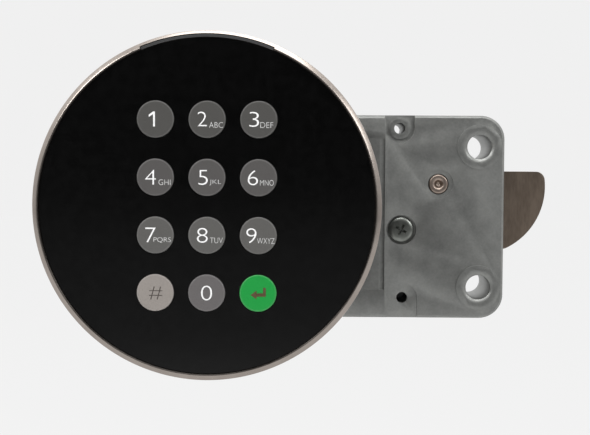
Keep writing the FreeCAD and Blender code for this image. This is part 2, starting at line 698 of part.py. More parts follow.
def keypad_board():
    """Round circuit board on four posts of the housing."""
    body = keypad_body("keypad_board")
    disc = sketch(body, "XZ_Plane", "board_disc", BOARD_BACK)
    circle(disc, "0", "0", "board_radius")
    for x, z in board_posts():
        circle(disc, x, z, "board_screw_radius + screw_gap")
    pad(body, disc, "board_thickness")


def board_screws():
    """Four pan-head screws through the keypad board into the posts."""
    made = []
    for k, (x, z) in enumerate(board_posts()):
        x, z = f"keypad_x + {x}", f"keypad_z + {z}"
        head_at = (x, f"-1 * {BOARD_FRONT} - board_screw_head_height", z)
        head = rod(f"board_screw_head_{k}", head_at, "board_screw_head_height", "board_screw_head", TO_BACK)
        length = "board_thickness + board_screw_length"
        shank = rod(f"board_screw_shank_{k}", (x, f"-1 * {BOARD_FRONT}", z), length, "board_screw_radius", TO_BACK)
        made.append(gather("MultiFuse", f"board_screw_{k}", [head, shank]))
    pieces.append(gather("Compound", "board_screws", made))


def board_parts():
    """Controller chip, buzzer and cable socket on the back of the keypad board."""
    back = f"-1 * {BOARD_BACK}"
    x, z = "(keypad_x + chip_x)", "(keypad_z + chip_z)"
    low = (f"{x} - chip_size / 2", back, f"{z} - chip_size / 2")
    high = (f"{x} + chip_size / 2", f"{back} + chip_thickness", f"{z} + chip_size / 2")
    pieces.append(block("keypad_chip", low, high))

    centre = ("keypad_x + buzzer_x", back, "keypad_z + buzzer_z")
    pieces.append(rod("buzzer", centre, "buzzer_height", "buzzer_radius", TO_BACK))

    body = keypad_body("keypad_socket", "cable_hole_x", "cable_hole_z")
    shell = sketch(body, "XZ_Plane", "socket_shell", BOARD_BACK)
    rectangle(shell, "-socket_width / 2", "-socket_height / 2", "socket_width / 2", "socket_height / 2")
    pad(body, shell, "socket_depth", back=True)
    mouth = sketch(body, "XZ_Plane", "socket_mouth", f"{BOARD_BACK} - socket_depth")
    half_width, half_height = "(socket_width / 2 - socket_wall)", "(socket_height / 2 - socket_wall)"
    rectangle(mouth, f"-1 * {half_width}", f"-1 * {half_height}", half_width, half_height)
    pocket(body, mouth, "socket_depth - socket_wall", along=True)


def rear_housing():
    """Moulded cup behind the ring: posts for the board, a battery bay open at the bottom, bayonet slots."""
    body = keypad_body("rear_housing")
    profile = sketch(body, "YZ_Plane", "housing_profile")
    outline(profile, (
        ("-1 * base_thickness", "0"),
        ("-1 * base_thickness", "housing_radius"),
        (f"-1 * {RING_BACK}", "housing_radius"),
        (f"-1 * {RING_BACK}", "spigot_radius"),
        (f"-1 * {RING_BACK} - spigot_length", "spigot_radius"),
        (f"-1 * {RING_BACK} - spigot_length", "housing_inner"),
        (f"-1 * {FLOOR_FRONT}", "housing_inner"),
        (f"-1 * {FLOOR_FRONT}", "0"),
    ))
    revolve(body, profile)

    half = f"({TRAY_HALF} + tray_gap)"
    top = f"({TRAY_TOP} + tray_gap)"
    bay = sketch(body, "XZ_Plane", "battery_bay", RING_BACK)
    rectangle(bay, f"-1 * {half}", "-housing_radius - 1", half, top)
    pocket(body, bay, f"{RING_BACK} - base_thickness")

    ribs = sketch(body, "XZ_Plane", "bay_ribs", FLOOR_FRONT)
    low = "-sqrt(housing_inner^2 - (battery_width / 2 + battery_gap + tray_wall + tray_gap + bay_wall)^2)"
    for side in (-1, 1):
        rectangle(ribs, f"{side} * {half}", low, f"{side} * ({half} + bay_wall)", top)
    pad(body, ribs, "bay_rib_height")

    posts = sketch(body, "XZ_Plane", "housing_posts", FLOOR_FRONT)
    for x, z in board_posts():
        circle(posts, x, z, "post_radius")
    pad(body, posts, f"{BOARD_BACK} - {FLOOR_FRONT}")
    bores = sketch(body, "XZ_Plane", "post_bores", BOARD_BACK)
    for x, z in board_posts():
        circle(bores, x, z, "board_screw_radius")
    pocket(body, bores, "board_screw_length")

    outlet = sketch(body, "XZ_Plane", "housing_outlet", FLOOR_FRONT)
    circle(outlet, "cable_hole_x", "cable_hole_z", "cable_hole_radius")
    pocket(body, outlet, "housing_floor")

    slot = sketch(body, "XZ_Plane", "bayonet_slot", FLOOR_FRONT)
    half, neck = "(tab_width / 2 + tab_gap)", "tab_circle - tab_thickness - tab_gap"
    outline(slot, (
        (f"-1 * {half}", neck),
        (f"tab_turn - {half}", neck),
        (f"tab_turn - {half}", f"{neck} - tab_reach"),
        (f"tab_turn + {half}", f"{neck} - tab_reach"),
        (f"tab_turn + {half}", "tab_circle + tab_gap"),
        (f"-1 * {half}", "tab_circle + tab_gap"),
    ))
    around(body, pocket(body, slot, "housing_floor"), 3)


def base_plate():
    """Plate that is screwed to the door: two countersunk holes, the cable outlet and three bayonet tabs."""
    body = keypad_body("base_plate")
    disc = sketch(body, "XZ_Plane", "base_disc")
    circle(disc, "0", "0", "base_radius")
    circle(disc, "cable_hole_x", "cable_hole_z", "cable_hole_radius")
    for end in (-1, 1):
        circle(disc, "0", f"{end} * base_hole_spacing / 2", "base_hole_radius")
    pad(body, disc, "base_thickness")
    dress(body, "Chamfer", "base_sink", rims_at("-1 * base_thickness", "base_hole_radius"))
    neck = sketch(body, "XZ_Plane", "tab_neck", "base_thickness")
    rectangle(neck, "-tab_width / 2", "tab_circle - tab_thickness", "tab_width / 2", "tab_circle")
    neck_pad = pad(body, neck, "housing_floor + tab_gap")
    hook = sketch(body, "XZ_Plane", "tab_hook", f"{FLOOR_FRONT} + tab_gap")
    rectangle(hook, "-tab_width / 2", "tab_circle - tab_thickness - tab_reach", "tab_width / 2", "tab_circle")
    hook_pad = pad(body, hook, "tab_head")
    pattern = around(body, neck_pad, 3)
    pattern.Originals = [neck_pad, hook_pad]


def battery():
    """Nine-volt block battery: rounded case and two snap terminals on its upper end."""
    body = keypad_body("battery")
    case = sketch(body, "XZ_Plane", "battery_case", BATTERY_BACK)
    rectangle(case, "-battery_width / 2", "battery_top - battery_height", "battery_width / 2", "battery_top")
    pad(body, case, "battery_thickness")
    dress(body, "Fillet", "battery_edge", along(2))
    snaps = sketch(body, "XY_Plane", "battery_snaps", "battery_top")
    for side in (-1, 1):
        x = f"{side} * terminal_spacing / 2"
        circle(snaps, x, f"-1 * {BATTERY_BACK} - battery_thickness / 2", "terminal_radius")
    pad(body, snaps, "terminal_height")


def battery_tray():
    """Drawer that carries the battery; its lower end is the curved door in the housing's wall."""
    x, z = "keypad_x", "keypad_z"
    blank_low = (f"{x} - {TRAY_HALF}", f"-1 * {TRAY_FRONT}", f"{z} - housing_radius - 1")
    blank_high = (f"{x} + {TRAY_HALF}", f"-1 * {TRAY_BACK}", f"{z} + {TRAY_TOP}")
    axis_start = (x, "-1 * keypad_depth", z)
    outside = rod("tray_outside", axis_start, "keypad_depth", "housing_radius", TO_BACK)
    blank = combine("Common", "tray_blank", block("tray_block", blank_low, blank_high), outside)

    half = f"({TRAY_HALF} - tray_wall)"
    well_low = (f"{x} - {half}", "-1 * keypad_depth", f"{z} - housing_radius - 1")
    well_high = (f"{x} + {half}", f"-1 * {TRAY_BACK} - tray_floor", f"{z} + {TRAY_TOP} + 1")
    open_low = (f"{x} - {TRAY_HALF} - 1", "-1 * keypad_depth", f"{z} - housing_radius - 1")
    open_high = (f"{x} + {TRAY_HALF} + 1", f"-1 * {TRAY_BACK} - tray_side", f"{z} + {TRAY_TOP} + 1")
    well = gather("MultiFuse", "tray_room", [
        block("tray_well", well_low, well_high),
        block("tray_open", open_low, open_high),
    ])
    inside = rod("tray_inside", axis_start, "keypad_depth", "housing_radius - door_thickness", TO_BACK)
    hollow = combine("Common", "tray_hollow", well, inside)
    grip_low = (f"{x} - door_grip / 2", f"-1 * {TRAY_BACK} - 3.6", f"{z} - housing_radius - 1")
    grip_high = (f"{x} + door_grip / 2", f"-1 * {TRAY_BACK} - 1.6", f"{z} - housing_radius + 1")
    cut = gather("MultiFuse", "tray_cuts", [hollow, block("tray_grip", grip_low, grip_high)])
    pieces.append(combine("Cut", "battery_tray", blank, cut))


def battery_contacts():
    """Contact block at the top of the battery bay, hung from the board."""
    low = ("keypad_x - contact_width / 2", f"-1 * {BOARD_BACK}", f"keypad_z + {TRAY_TOP} + tray_gap")
    back = f"-1 * {BATTERY_BACK} - battery_thickness / 8"
    high = ("keypad_x + contact_width / 2", back, f"keypad_z + {TRAY_TOP} + tray_gap + contact_height")
    pieces.append(block("battery_contacts", low, high))


def lock_case():
    """Die-cast tray: front wall with ring bosses, notches and recesses; columns, slot and posts inside."""
    body = new_body("lock_case")
    shell = sketch(body, "XZ_Plane", "case_outline", "-face_recess")
    rectangle(shell, "-case_width / 2", "-case_height / 2", "case_width / 2", "case_height / 2")
    pad(body, shell, "case_depth - face_recess", back=True)
    dress(body, "Fillet", "case_corner", along(1))
    dress(body, "Chamfer", "case_chamfer", level_at("face_recess"))

    hollow = sketch(body, "XZ_Plane", "case_hollow", "-case_depth")
    half_width, half_height = "(case_width / 2 - case_wall)", "(case_height / 2 - case_wall)"
    rectangle(hollow, f"-1 * {half_width}", f"-1 * {half_height}", half_width, half_height)
    pocket(body, hollow, f"case_depth - {FLOOR_INSIDE}", along=True)

    step = sketch(body, "XZ_Plane", "face_step", "-face_recess")
    rectangle(step, "step_x", "-case_height", "case_width", "case_height")
    pocket(body, step, "face_step")

    columns = sketch(body, "XZ_Plane", "case_columns", "-case_depth")
    for x, z in mounting_holes():
        circle(columns, x, z, "column_radius")
    for x, z in (("top_hole_x", "top_hole_z"), *cover_screw_places()):
        circle(columns, x, z, "small_column")
    pad(body, columns, f"case_depth - {FLOOR_INSIDE}")

    bosses = sketch(body, "XZ_Plane", "ring_bosses")
    for x, z in mounting_holes():
        circle(bosses, x, z, "ring_boss_radius")
    pad(body, bosses, "face_recess + face_step", back=True)

    notches = sketch(body, "XZ_Plane", "round_notches", "-face_recess")
    circle(notches, "top_hole_x", "top_hole_z", "notch_radius")
    circle(notches, "low_hole_x", "low_hole_z", "notch_radius")
    pocket(body, notches, "notch_depth")
    for name, x, z, edge in (
        ("top_notch", "top_hole_x", "top_hole_z", "case_height"),
        ("low_notch", "low_hole_x", "low_hole_z", "-case_height"),
    ):
        mouth = sketch(body, "XZ_Plane", name, "-face_recess")
        rectangle(mouth, f"{x} - notch_radius", z, f"{x} + notch_radius", edge)
        pocket(body, mouth, "notch_depth")
    ring = sketch(body, "XZ_Plane", "small_ring", "-face_recess - notch_depth")
    circle(ring, "top_hole_x", "top_hole_z", "small_ring_radius")
    pad(body, ring, "small_ring_height")

    holes = sketch(body, "XZ_Plane", "mounting_bores")
    for x, z in mounting_holes():
        circle(holes, x, z, "hole_radius")
    pocket(body, holes, "case_depth")
    mouths = dress(body, "Chamfer", "hole_sink_depth", rims_at("0", "hole_radius"))
    mouths.ChamferType = "Two distances"
    mouths.setExpression("Size2", formula("hole_sink_width"))

    small = sketch(body, "XZ_Plane", "small_bores")
    circle(small, "top_hole_x", "top_hole_z", "small_hole_radius")
    circle(small, "low_hole_x", "low_hole_z", "small_hole_radius")
    pocket(body, small, "case_depth")
    blind = sketch(body, "XZ_Plane", "cover_screw_bores", "-case_depth")
    for x, z in list(cover_screw_places())[:2]:
        circle(blind, x, z, "cover_screw_radius + screw_gap")
    pocket(body, blind, "cover_screw_length + 1", along=True)

    groove = sketch(body, "XZ_Plane", "upright_groove", "-face_recess")
    rectangle(groove, "groove_x", "groove_bottom", "groove_x + groove_width", "groove_top")
    pocket(body, groove, "groove_depth")

    sunk = sketch(body, "XZ_Plane", "screw_counterbore", "-face_recess")
    circle(sunk, "block_screw_x", "block_screw_z", "counterbore_radius")
    pocket(body, sunk, "counterbore_depth + face_step")
    dish = sketch(body, "XZ_Plane", "pin_dish", "-face_recess")
    circle(dish, "pin_x", "pin_z", "pin_recess_radius")
    pocket(body, dish, "pin_recess_depth + face_step")
    through = sketch(body, "XZ_Plane", "floor_holes")
    circle(through, "block_screw_x", "block_screw_z", "block_screw_radius + screw_gap")
    circle(through, "pin_x", "pin_z", "pin_hole_radius")
    pocket(body, through, FLOOR_INSIDE)

    socket = sketch(body, "XZ_Plane", "pivot_socket", "-1 * (face_recess + case_floor / 2)")
    circle(socket, "pivot_x", "pivot_z", "pivot_pin_radius")
    pocket(body, socket, "case_floor / 2")

    slot = sketch(body, "YZ_Plane", "bolt_slot", "case_width / 2")
    low = "pivot_z - sqrt(bolt_radius^2 - (case_width / 2 - case_wall - pivot_x)^2) - slot_gap"
    rectangle(slot, "bolt_front - slot_gap", low, "case_depth", "pivot_z + bolt_top + slot_gap")
    pocket(body, slot, "case_wall")

    window = sketch(body, "YZ_Plane", "jack_window", "-case_width / 2")
    low, high = "jack_low - jack_gap", "jack_low + jack_height + jack_gap"
    rectangle(window, f"{BOARD_SIDE} - jack_gap", low, f"{BOARD_SIDE} + jack_depth + jack_gap", high)
    pocket(body, window, "case_wall", along=True)

    relief = sketch(body, "XZ_Plane", "spring_relief", "slot_gap - bolt_front")
    circle(relief, "pivot_x", "pivot_z", "spring_radius + wire_half + spring_room")
    pocket(body, relief, f"bolt_front - slot_gap - {FLOOR_INSIDE}", along=True)

    posts = sketch(body, "XZ_Plane", "lock_board_posts", "-lock_board_front")
    bores = sketch(body, "XZ_Plane", "lock_post_bores", "-lock_board_front")
    for x in ("lock_post_left", "lock_post_right"):
        circle(posts, x, "lock_post_z", "lock_post_radius")
        circle(bores, x, "lock_post_z", "board_screw_radius")
    pad(body, posts, f"lock_board_front - {FLOOR_INSIDE}")
    pocket(body, bores, "lock_screw_length", along=True)
    stop = sketch(body, "XZ_Plane", "spring_post", f"-1 * {HUB_FRONT} - 2")
    circle(stop, "pivot_x + spring_post_x", "pivot_z + spring_radius + wire_half + spring_post_radius",
           "spring_post_radius")
    pad(body, stop, "2 + hub_gap")


def lock_cover():
    """Plate that closes the case, with clearance holes over the mounting holes and countersunk screw holes."""
    body = new_body("lock_cover")
    plate = sketch(body, "XZ_Plane", "cover_outline", "-case_depth")
    rectangle(plate, "-case_width / 2", "-case_height / 2", "case_width / 2", "case_height / 2")
    pad(body, plate, "cover_thickness", back=True)
    dress(body, "Fillet", "case_corner", along(1))
    dress(body, "Chamfer", "cover_edge", level_at("case_depth + cover_thickness"))
    holes = sketch(body, "XZ_Plane", "cover_holes", "-case_depth")
    for x, z in mounting_holes():
        circle(holes, x, z, "cover_hole")
    circle(holes, "top_hole_x", "top_hole_z", "small_hole_radius + 2 * screw_gap")
    for x, z in cover_screw_places():
        circle(holes, x, z, "cover_screw_radius + screw_gap")
    pocket(body, holes, "cover_thickness")
    sunk = rims_at("case_depth + cover_thickness", "cover_screw_radius + screw_gap")
    dress(body, "Chamfer", "cover_screw_head_height", sunk)


def cover_screws():
    """Three countersunk screws that hold the cover on the case."""
    made = []
    back = "(case_depth + cover_thickness)"
    for k, (x, z) in enumerate(cover_screw_places()):
        start = (x, f"{back} - cover_screw_length", z)
        shank = rod(f"cover_screw_shank_{k}", start, "cover_screw_length", "cover_screw_radius", TO_BACK)
        head = primitive(
            "Cone", f"cover_screw_head_{k}", (x, f"{back} - cover_screw_head_height", z), TO_BACK,
            Radius1="cover_screw_radius", Radius2="cover_screw_head", Height="cover_screw_head_height",
        )
        made.append(gather("MultiFuse", f"cover_screw_{k}", [shank, head]))
    pieces.append(gather("Compound", "cover_screws", made))


def swing_bolt():
    """Die-cast bolt: a round-nosed sector on a hub, with an offset round cam behind it."""
    body = new_body("swing_bolt", "pivot_x", "0", "pivot_z")
    sector = sketch(body, "XZ_Plane", "bolt_sector", "-bolt_front")
    radius, top = number("bolt_radius"), number("bolt_top")
    sweep = math.radians(number("bolt_sweep"))
    upper = FreeCAD.Vector(math.sqrt(radius**2 - top**2), top, 0)
    lower = FreeCAD.Vector(radius * math.cos(sweep), -radius * math.sin(sweep), 0)
    tail = FreeCAD.Vector(-top * math.sin(sweep), -top * math.cos(sweep), 0)
    crown = FreeCAD.Vector(0, top, 0)
    sector.addGeometry(Part.LineSegment(crown, upper), False)
    round_nose = Part.Circle(FreeCAD.Vector(), FreeCAD.Vector(0, 0, 1), radius)
    sector.addGeometry(Part.ArcOfCircle(round_nose, -sweep, math.asin(top / radius)), False)
    sector.addGeometry(Part.LineSegment(lower, tail), False)
    sector.addGeometry(Part.LineSegment(tail, crown), False)
    for joint in ((0, 2, 1, 2), (1, 1, 2, 1), (2, 2, 3, 1), (3, 2, 0, 1), (1, 3, -1, 1)):
        sector.addConstraint(Sketcher.Constraint("Coincident", *joint))
    hold(sector, "Radius", "bolt_radius", 1)
    place(sector, 0, 1, "0", "bolt_top")
    hold(sector, "DistanceY", "bolt_top", -1, 1, 0, 2)
    hold(sector, "DistanceX", "bolt_radius * cos(bolt_sweep)", -1, 1, 2, 1)
    place(sector, 2, 2, "-bolt_top * sin(bolt_sweep)", "-bolt_top * cos(bolt_sweep)")
    pad(body, sector, "bolt_thickness", back=True)
    reach = number("bolt_radius") / 2
    dress(body, "Fillet", "bolt_corner", lambda e: along(1)(e) and e.BoundBox.Center.Length > reach
          and math.hypot(e.BoundBox.Center.x, e.BoundBox.Center.z) > reach)

    hub = sketch(body, "XZ_Plane", "bolt_hub", "-bolt_front")
    circle(hub, "0", "0", "hub_radius")
    pad(body, hub, f"{HUB_BACK} - bolt_front", back=True)
    neck = sketch(body, "XZ_Plane", "bolt_neck", f"-1 * {HUB_FRONT}")
    circle(neck, "0", "0", "hub_neck")
    pad(body, neck, f"bolt_front - {HUB_FRONT}", back=True)
    cam = sketch(body, "XZ_Plane", "bolt_cam", f"-1 * {CAM_FRONT}")
    circle(cam, "cam_offset * cos(cam_angle)", "cam_offset * sin(cam_angle)", "cam_radius")
    pad(body, cam, "cam_thickness", back=True)
    bore = sketch(body, "XZ_Plane", "bolt_bore")
    circle(bore, "0", "0", "pivot_pin_radius + pivot_fit")
    pocket(body, bore, "case_depth")


def bolt_pivot_pin():
    """Plain steel pin from the case floor to the cover."""
    start = ("pivot_x", "face_recess + case_floor / 2", "pivot_z")
    length = "case_depth - face_recess - case_floor / 2"
    pieces.append(rod("bolt_pivot_pin", start, length, "pivot_pin_radius", TO_BACK))


def bolt_spring():
    """Torsion spring round the neck of the hub: a turn and a half of wire, and the leg that stays still."""
    body = new_body("bolt_spring", "pivot_x", "0", "pivot_z")
    first = f"({HUB_FRONT} + wire_half)"
    wire = sketch(body, "YZ_Plane", "spring_wire")
    square = (f"{first} - wire_half", "spring_radius - wire_half", f"{first} + wire_half", "spring_radius + wire_half")
    rectangle(wire, *square)
    coil = body.newObject("PartDesign::AdditiveHelix", "spring_coil")
    coil.Profile = wire
    coil.ReferenceAxis = (wire, ["H_Axis"])
    coil.Mode = "pitch-height-angle"
    coil.setExpression("Pitch", formula("spring_pitch"))
    coil.setExpression("Height", formula("spring_pitch * 1.5"))
    fixed = sketch(body, "YZ_Plane", "fixed_leg")
    rectangle(fixed, *square)
    pad(body, fixed, "spring_leg", back=True)


def guide_pin():
    """Pin staked in the front wall, with a dimple in its end; its shank guides the slide."""
    body = new_body("guide_pin", "pin_x", "0", "pin_z")
    front = "(face_recess + face_step)"
    profile = sketch(body, "YZ_Plane", "pin_profile")
    outline(profile, (
        (f"{front} + dimple_depth", "0"),
        (front, "dimple_radius"),
        (front, "pin_head_radius"),
        (FLOOR_INSIDE, "pin_head_radius"),
        (FLOOR_INSIDE, "pin_flange_radius"),
        (f"{FLOOR_INSIDE} + pin_flange_thickness", "pin_flange_radius"),
        (f"{FLOOR_INSIDE} + pin_flange_thickness", "pin_shank_radius"),
        ("case_depth", "pin_shank_radius"),
        ("case_depth", "0"),
    ))
    revolve(body, profile)


def locking_slide():
    """Forked slide: the long prong stands against the bolt's cam, the nut block takes the drive screw."""
    body = new_body("locking_slide")
    low_slot = "pin_z - pin_shank_radius - slide_slot_gap"
    high_slot = "pin_z + pin_shank_radius + slide_slot_gap"
    plate = sketch(body, "XZ_Plane", "slide_plate", "-slide_front")
    outline(plate, (
        ("nut_left", "slide_low"),
        (NOSE_X, "slide_low"),
        (NOSE_X, low_slot),
        ("pin_x", low_slot),
        ("pin_x", high_slot),
        ("slide_prong", high_slot),
        ("slide_prong", "slide_high"),
        ("nut_left", "slide_high"),
    ))
    pad(body, plate, "slide_thickness", back=True)
    end = sketch(body, "XZ_Plane", "slide_slot_end", "-slide_front")
    circle(end, "pin_x", "pin_z", "pin_shank_radius + slide_slot_gap")
    pocket(body, end, "slide_thickness")
    nut = sketch(body, "XZ_Plane", "nut_block", "-slide_front")
    rectangle(nut, "nut_left", "drive_z - nut_half", "nut_left + nut_length", "drive_z + nut_half")
    pad(body, nut, "slide_front - drive_y + nut_half")
    bore = sketch(body, "YZ_Plane", "nut_bore", "nut_left + nut_length")
    circle(bore, "drive_y", "drive_z", "screw_radius + screw_fit")
    pocket(body, bore, "nut_length")


def drive_screw():
    """Screw that moves the slide, with a collar at the motor's end."""
    start = "(motor_front + motor_gap)"
    shank = rod("drive_shank", (start, "drive_y", "drive_z"), f"{SCREW_END} - {start}", "screw_radius", TO_RIGHT)
    collar = rod("drive_collar", (start, "drive_y", "drive_z"), "collar_length", "collar_radius", TO_RIGHT)
    pieces.append(gather("MultiFuse", "drive_screw", [shank, collar]))


def drive_motor():
    """Small geared motor with two flats and a bearing boss on its far end."""
    can = rod("motor_can", ("motor_front - motor_length", "drive_y", "drive_z"), "motor_length",
              "motor_radius", TO_RIGHT)
    low = ("motor_front - motor_length", "drive_y - motor_radius", "drive_z - motor_flat")
    high = ("motor_front", "drive_y + motor_radius", "drive_z + motor_flat")
    flats = combine("Common", "motor_flats", can, block("motor_block", low, high))
    boss = rod("motor_boss", ("motor_front - motor_length - 1", "drive_y", "drive_z"), "2", "boss_radius",
               TO_RIGHT)
    pieces.append(gather("MultiFuse", "drive_motor", [flats, boss]))


def motor_cradle():
    """Moulded bed that holds the motor on the case floor."""
    left, right = "motor_front - motor_length + cradle_inset", "motor_front - cradle_inset"
    half = "(motor_flat + cradle_wall)"
    low = (left, FLOOR_INSIDE, f"drive_z - {half}")
    high = (right, "drive_y", f"drive_z + {half}")
    room_low = ("motor_front - motor_length", "drive_y - motor_radius", "drive_z - motor_flat")
    room_high = ("motor_front", "drive_y + motor_radius", "drive_z + motor_flat")
    can = rod("cradle_can", ("motor_front - motor_length", "drive_y", "drive_z"), "motor_length",
              "motor_radius", TO_RIGHT)
    room = combine("Common", "cradle_room", can, block("cradle_room_block", room_low, room_high))
    pieces.append(combine("Cut", "motor_cradle", block("cradle_block", low, high), room))


def bearing_block():
    """Upright that carries the far end of the drive screw, on a foot that the block screw holds."""
    body = new_body("bearing_block")
    floor = f"-1 * {FLOOR_INSIDE}"
    upright = sketch(body, "XZ_Plane", "block_upright", floor)
    rectangle(upright, "block_x", "foot_low", "block_x + block_length", "drive_z + block_half")
    pad(body, upright, f"block_back - {FLOOR_INSIDE}", back=True)
    lower = sketch(body, "XZ_Plane", "block_lower", "-block_back")
    rectangle(lower, "block_x", "foot_low", "block_x + block_length", "drive_z - block_half")
    pocket(body, lower, "block_back - foot_back", along=True)
    foot = sketch(body, "XZ_Plane", "block_foot", floor)
    rectangle(foot, "block_x", "foot_low", "block_x + foot_length", "foot_high")
    pad(body, foot, f"foot_back - {FLOOR_INSIDE}", back=True)
    tapped = sketch(body, "XZ_Plane", "block_tapping", floor)
    circle(tapped, "block_screw_x", "block_screw_z", "block_screw_radius")
    pocket(body, tapped, f"foot_back - {FLOOR_INSIDE}")
    bearing = sketch(body, "YZ_Plane", "block_bearing", "block_x + block_length")
    circle(bearing, "drive_y", "drive_z", "screw_radius + screw_fit")
    pocket(body, bearing, "block_length")


def block_screw():
    """Cross-head screw in the counterbore of the front wall."""
    body = new_body("block_screw", "block_screw_x", "0", "block_screw_z")
    body.Placement = FreeCAD.Placement(
        FreeCAD.Vector(), FreeCAD.Rotation(FreeCAD.Vector(0, 1, 0), number("block_screw_turn"))
    )
    seat = "(face_recess + face_step + counterbore_depth)"
    profile = sketch(body, "YZ_Plane", "block_screw_profile")
    outline(profile, (
        (f"{seat} - block_screw_head_height", "0"),
        (f"{seat} - block_screw_head_height", "block_screw_head - 0.5"),
        (f"{seat} - block_screw_head_height + 0.4", "block_screw_head"),
        (seat, "block_screw_head"),
        (seat, "block_screw_radius"),
        (f"{seat} + block_screw_length", "block_screw_radius"),
        (f"{seat} + block_screw_length", "0"),
    ))
    revolve(body, profile)
    cross = sketch(body, "XZ_Plane", "cross_recess", f"block_screw_head_height - {seat}")
    long, short = "cross_length / 2", "cross_width / 2"
    outline(cross, (
        (f"-{long}", f"-{short}"), (f"-{short}", f"-{short}"), (f"-{short}", f"-{long}"), (short, f"-{long}"),
        (short, f"-{short}"), (long, f"-{short}"), (long, short), (short, short),
        (short, long), (f"-{short}", long), (f"-{short}", short), (f"-{long}", short),
    ))
    pocket(body, cross, "cross_depth")


def lock_board():
    """Circuit board on two posts in the left half of the case, with its chip and cable jack."""
    board = new_body("lock_board")
    sheet = sketch(board, "XZ_Plane", "lock_board_sheet", "-lock_board_front")
    rectangle(sheet, "lock_board_left", "lock_board_low", "lock_board_right", "lock_board_high")
    screws = []
    for side in ("left", "right"):
        x = f"lock_post_{side}"
        circle(sheet, x, "lock_post_z", "board_screw_radius + screw_gap")
        shank = rod(f"{side}_screw_shank", (x, f"{BOARD_SIDE} - lock_board_thickness - lock_screw_length", "lock_post_z"),
                    "lock_board_thickness + lock_screw_length", "board_screw_radius", TO_BACK)
        head = rod(f"{side}_screw_head", (x, BOARD_SIDE, "lock_post_z"), "board_screw_head_height",
                   "board_screw_head", TO_BACK)
        screws.append(gather("MultiFuse", f"{side}_lock_screw", [shank, head]))
    pad(board, sheet, "lock_board_thickness", back=True)
    pieces.append(gather("Compound", "lock_board_screws", screws))
    low = ("lock_chip_x", BOARD_SIDE, "lock_chip_z")
    high = ("lock_chip_x + lock_chip_size", f"{BOARD_SIDE} + chip_thickness", "lock_chip_z + lock_chip_size")
    pieces.append(block("lock_chip", low, high))

    body = new_body("cable_jack", "-case_width / 2")
    shell = sketch(body, "YZ_Plane", "jack_shell")
    rectangle(shell, BOARD_SIDE, "jack_low", f"{BOARD_SIDE} + jack_depth", "jack_low + jack_height")
    pad(body, shell, "jack_length")
    mouth = sketch(body, "YZ_Plane", "jack_mouth")
    rectangle(
        mouth, f"{BOARD_SIDE} + socket_wall", "jack_low + socket_wall",
        f"{BOARD_SIDE} + jack_depth - socket_wall", "jack_low + jack_height - socket_wall",
    )
    pocket(body, mouth, "jack_cavity", along=True)


def bolt_switch():
    """Small switch on the case floor whose blade looks at the withdrawn bolt."""
    low = ("switch_x", FLOOR_INSIDE, "switch_z")
    high = ("switch_x + switch_length", f"{FLOOR_INSIDE} + switch_depth", "switch_z + switch_height")
    middle = f"({FLOOR_INSIDE} + switch_depth / 2)"
    blade_low = ("switch_x + switch_length", f"{middle} - blade_depth / 2", "switch_z + switch_height - 2")
    blade_high = (
        "switch_x + switch_length + blade_length", f"{middle} + blade_depth / 2", "switch_z + switch_height - 1.6"
    )
    blade = block("switch_blade", blade_low, blade_high)
    pieces.append(gather("MultiFuse", "bolt_switch", [block("switch_box", low, high), blade]))


for build in (
    bezel_ring, status_window, face_panel, keys, light_guide, key_switches, keypad_board, board_screws,
    board_parts, rear_housing, base_plate, battery, battery_tray, battery_contacts,
    lock_case, lock_cover, cover_screws, swing_bolt, bolt_pivot_pin, bolt_spring, guide_pin, locking_slide,
    drive_screw, drive_motor, motor_cradle, bearing_block, block_screw, lock_board, bolt_switch,
):
    build()
doc.recompute()

for made in doc.Objects:
    if {"Invalid", "Error"} & set(made.State):
        raise ValueError(f"{made.Name} failed: {made.State}")
for piece in pieces:
    if piece.Shape.isNull() or not piece.Shape.isValid() or not piece.Shape.Solids:
        raise ValueError(f"{piece.Label} has no valid solid")

os.makedirs("parts", exist_ok=True)
for piece in pieces:
    piece.Shape.exportStep(f"parts/{piece.Label}.step")
    print(f"{piece.Label}: {len(piece.Shape.Solids)} solid(s), {piece.Shape.Volume:.1f} mm3")
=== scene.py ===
import bpy
import math
from mathutils import Matrix, Vector


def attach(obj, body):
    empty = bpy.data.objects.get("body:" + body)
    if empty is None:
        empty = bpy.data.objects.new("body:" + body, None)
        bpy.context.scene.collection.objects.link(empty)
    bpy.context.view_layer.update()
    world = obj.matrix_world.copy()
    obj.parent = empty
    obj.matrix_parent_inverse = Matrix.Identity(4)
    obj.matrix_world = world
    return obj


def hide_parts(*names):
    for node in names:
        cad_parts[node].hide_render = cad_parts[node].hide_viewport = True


# Keypad deadbolt lock: a round electronic keypad in front of a die-cast lock case with a swinging bolt.
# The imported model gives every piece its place; this script gives each one its finish and fine shape.
# X is to the right, Y away from the user and Z up. Lengths are written in mm and turned to metres.
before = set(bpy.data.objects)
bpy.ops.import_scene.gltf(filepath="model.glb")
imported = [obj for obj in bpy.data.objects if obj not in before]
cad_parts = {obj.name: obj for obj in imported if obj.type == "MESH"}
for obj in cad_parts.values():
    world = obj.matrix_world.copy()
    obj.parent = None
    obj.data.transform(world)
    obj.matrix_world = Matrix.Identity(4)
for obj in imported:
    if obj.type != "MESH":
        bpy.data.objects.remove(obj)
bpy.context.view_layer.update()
MM = 0.001


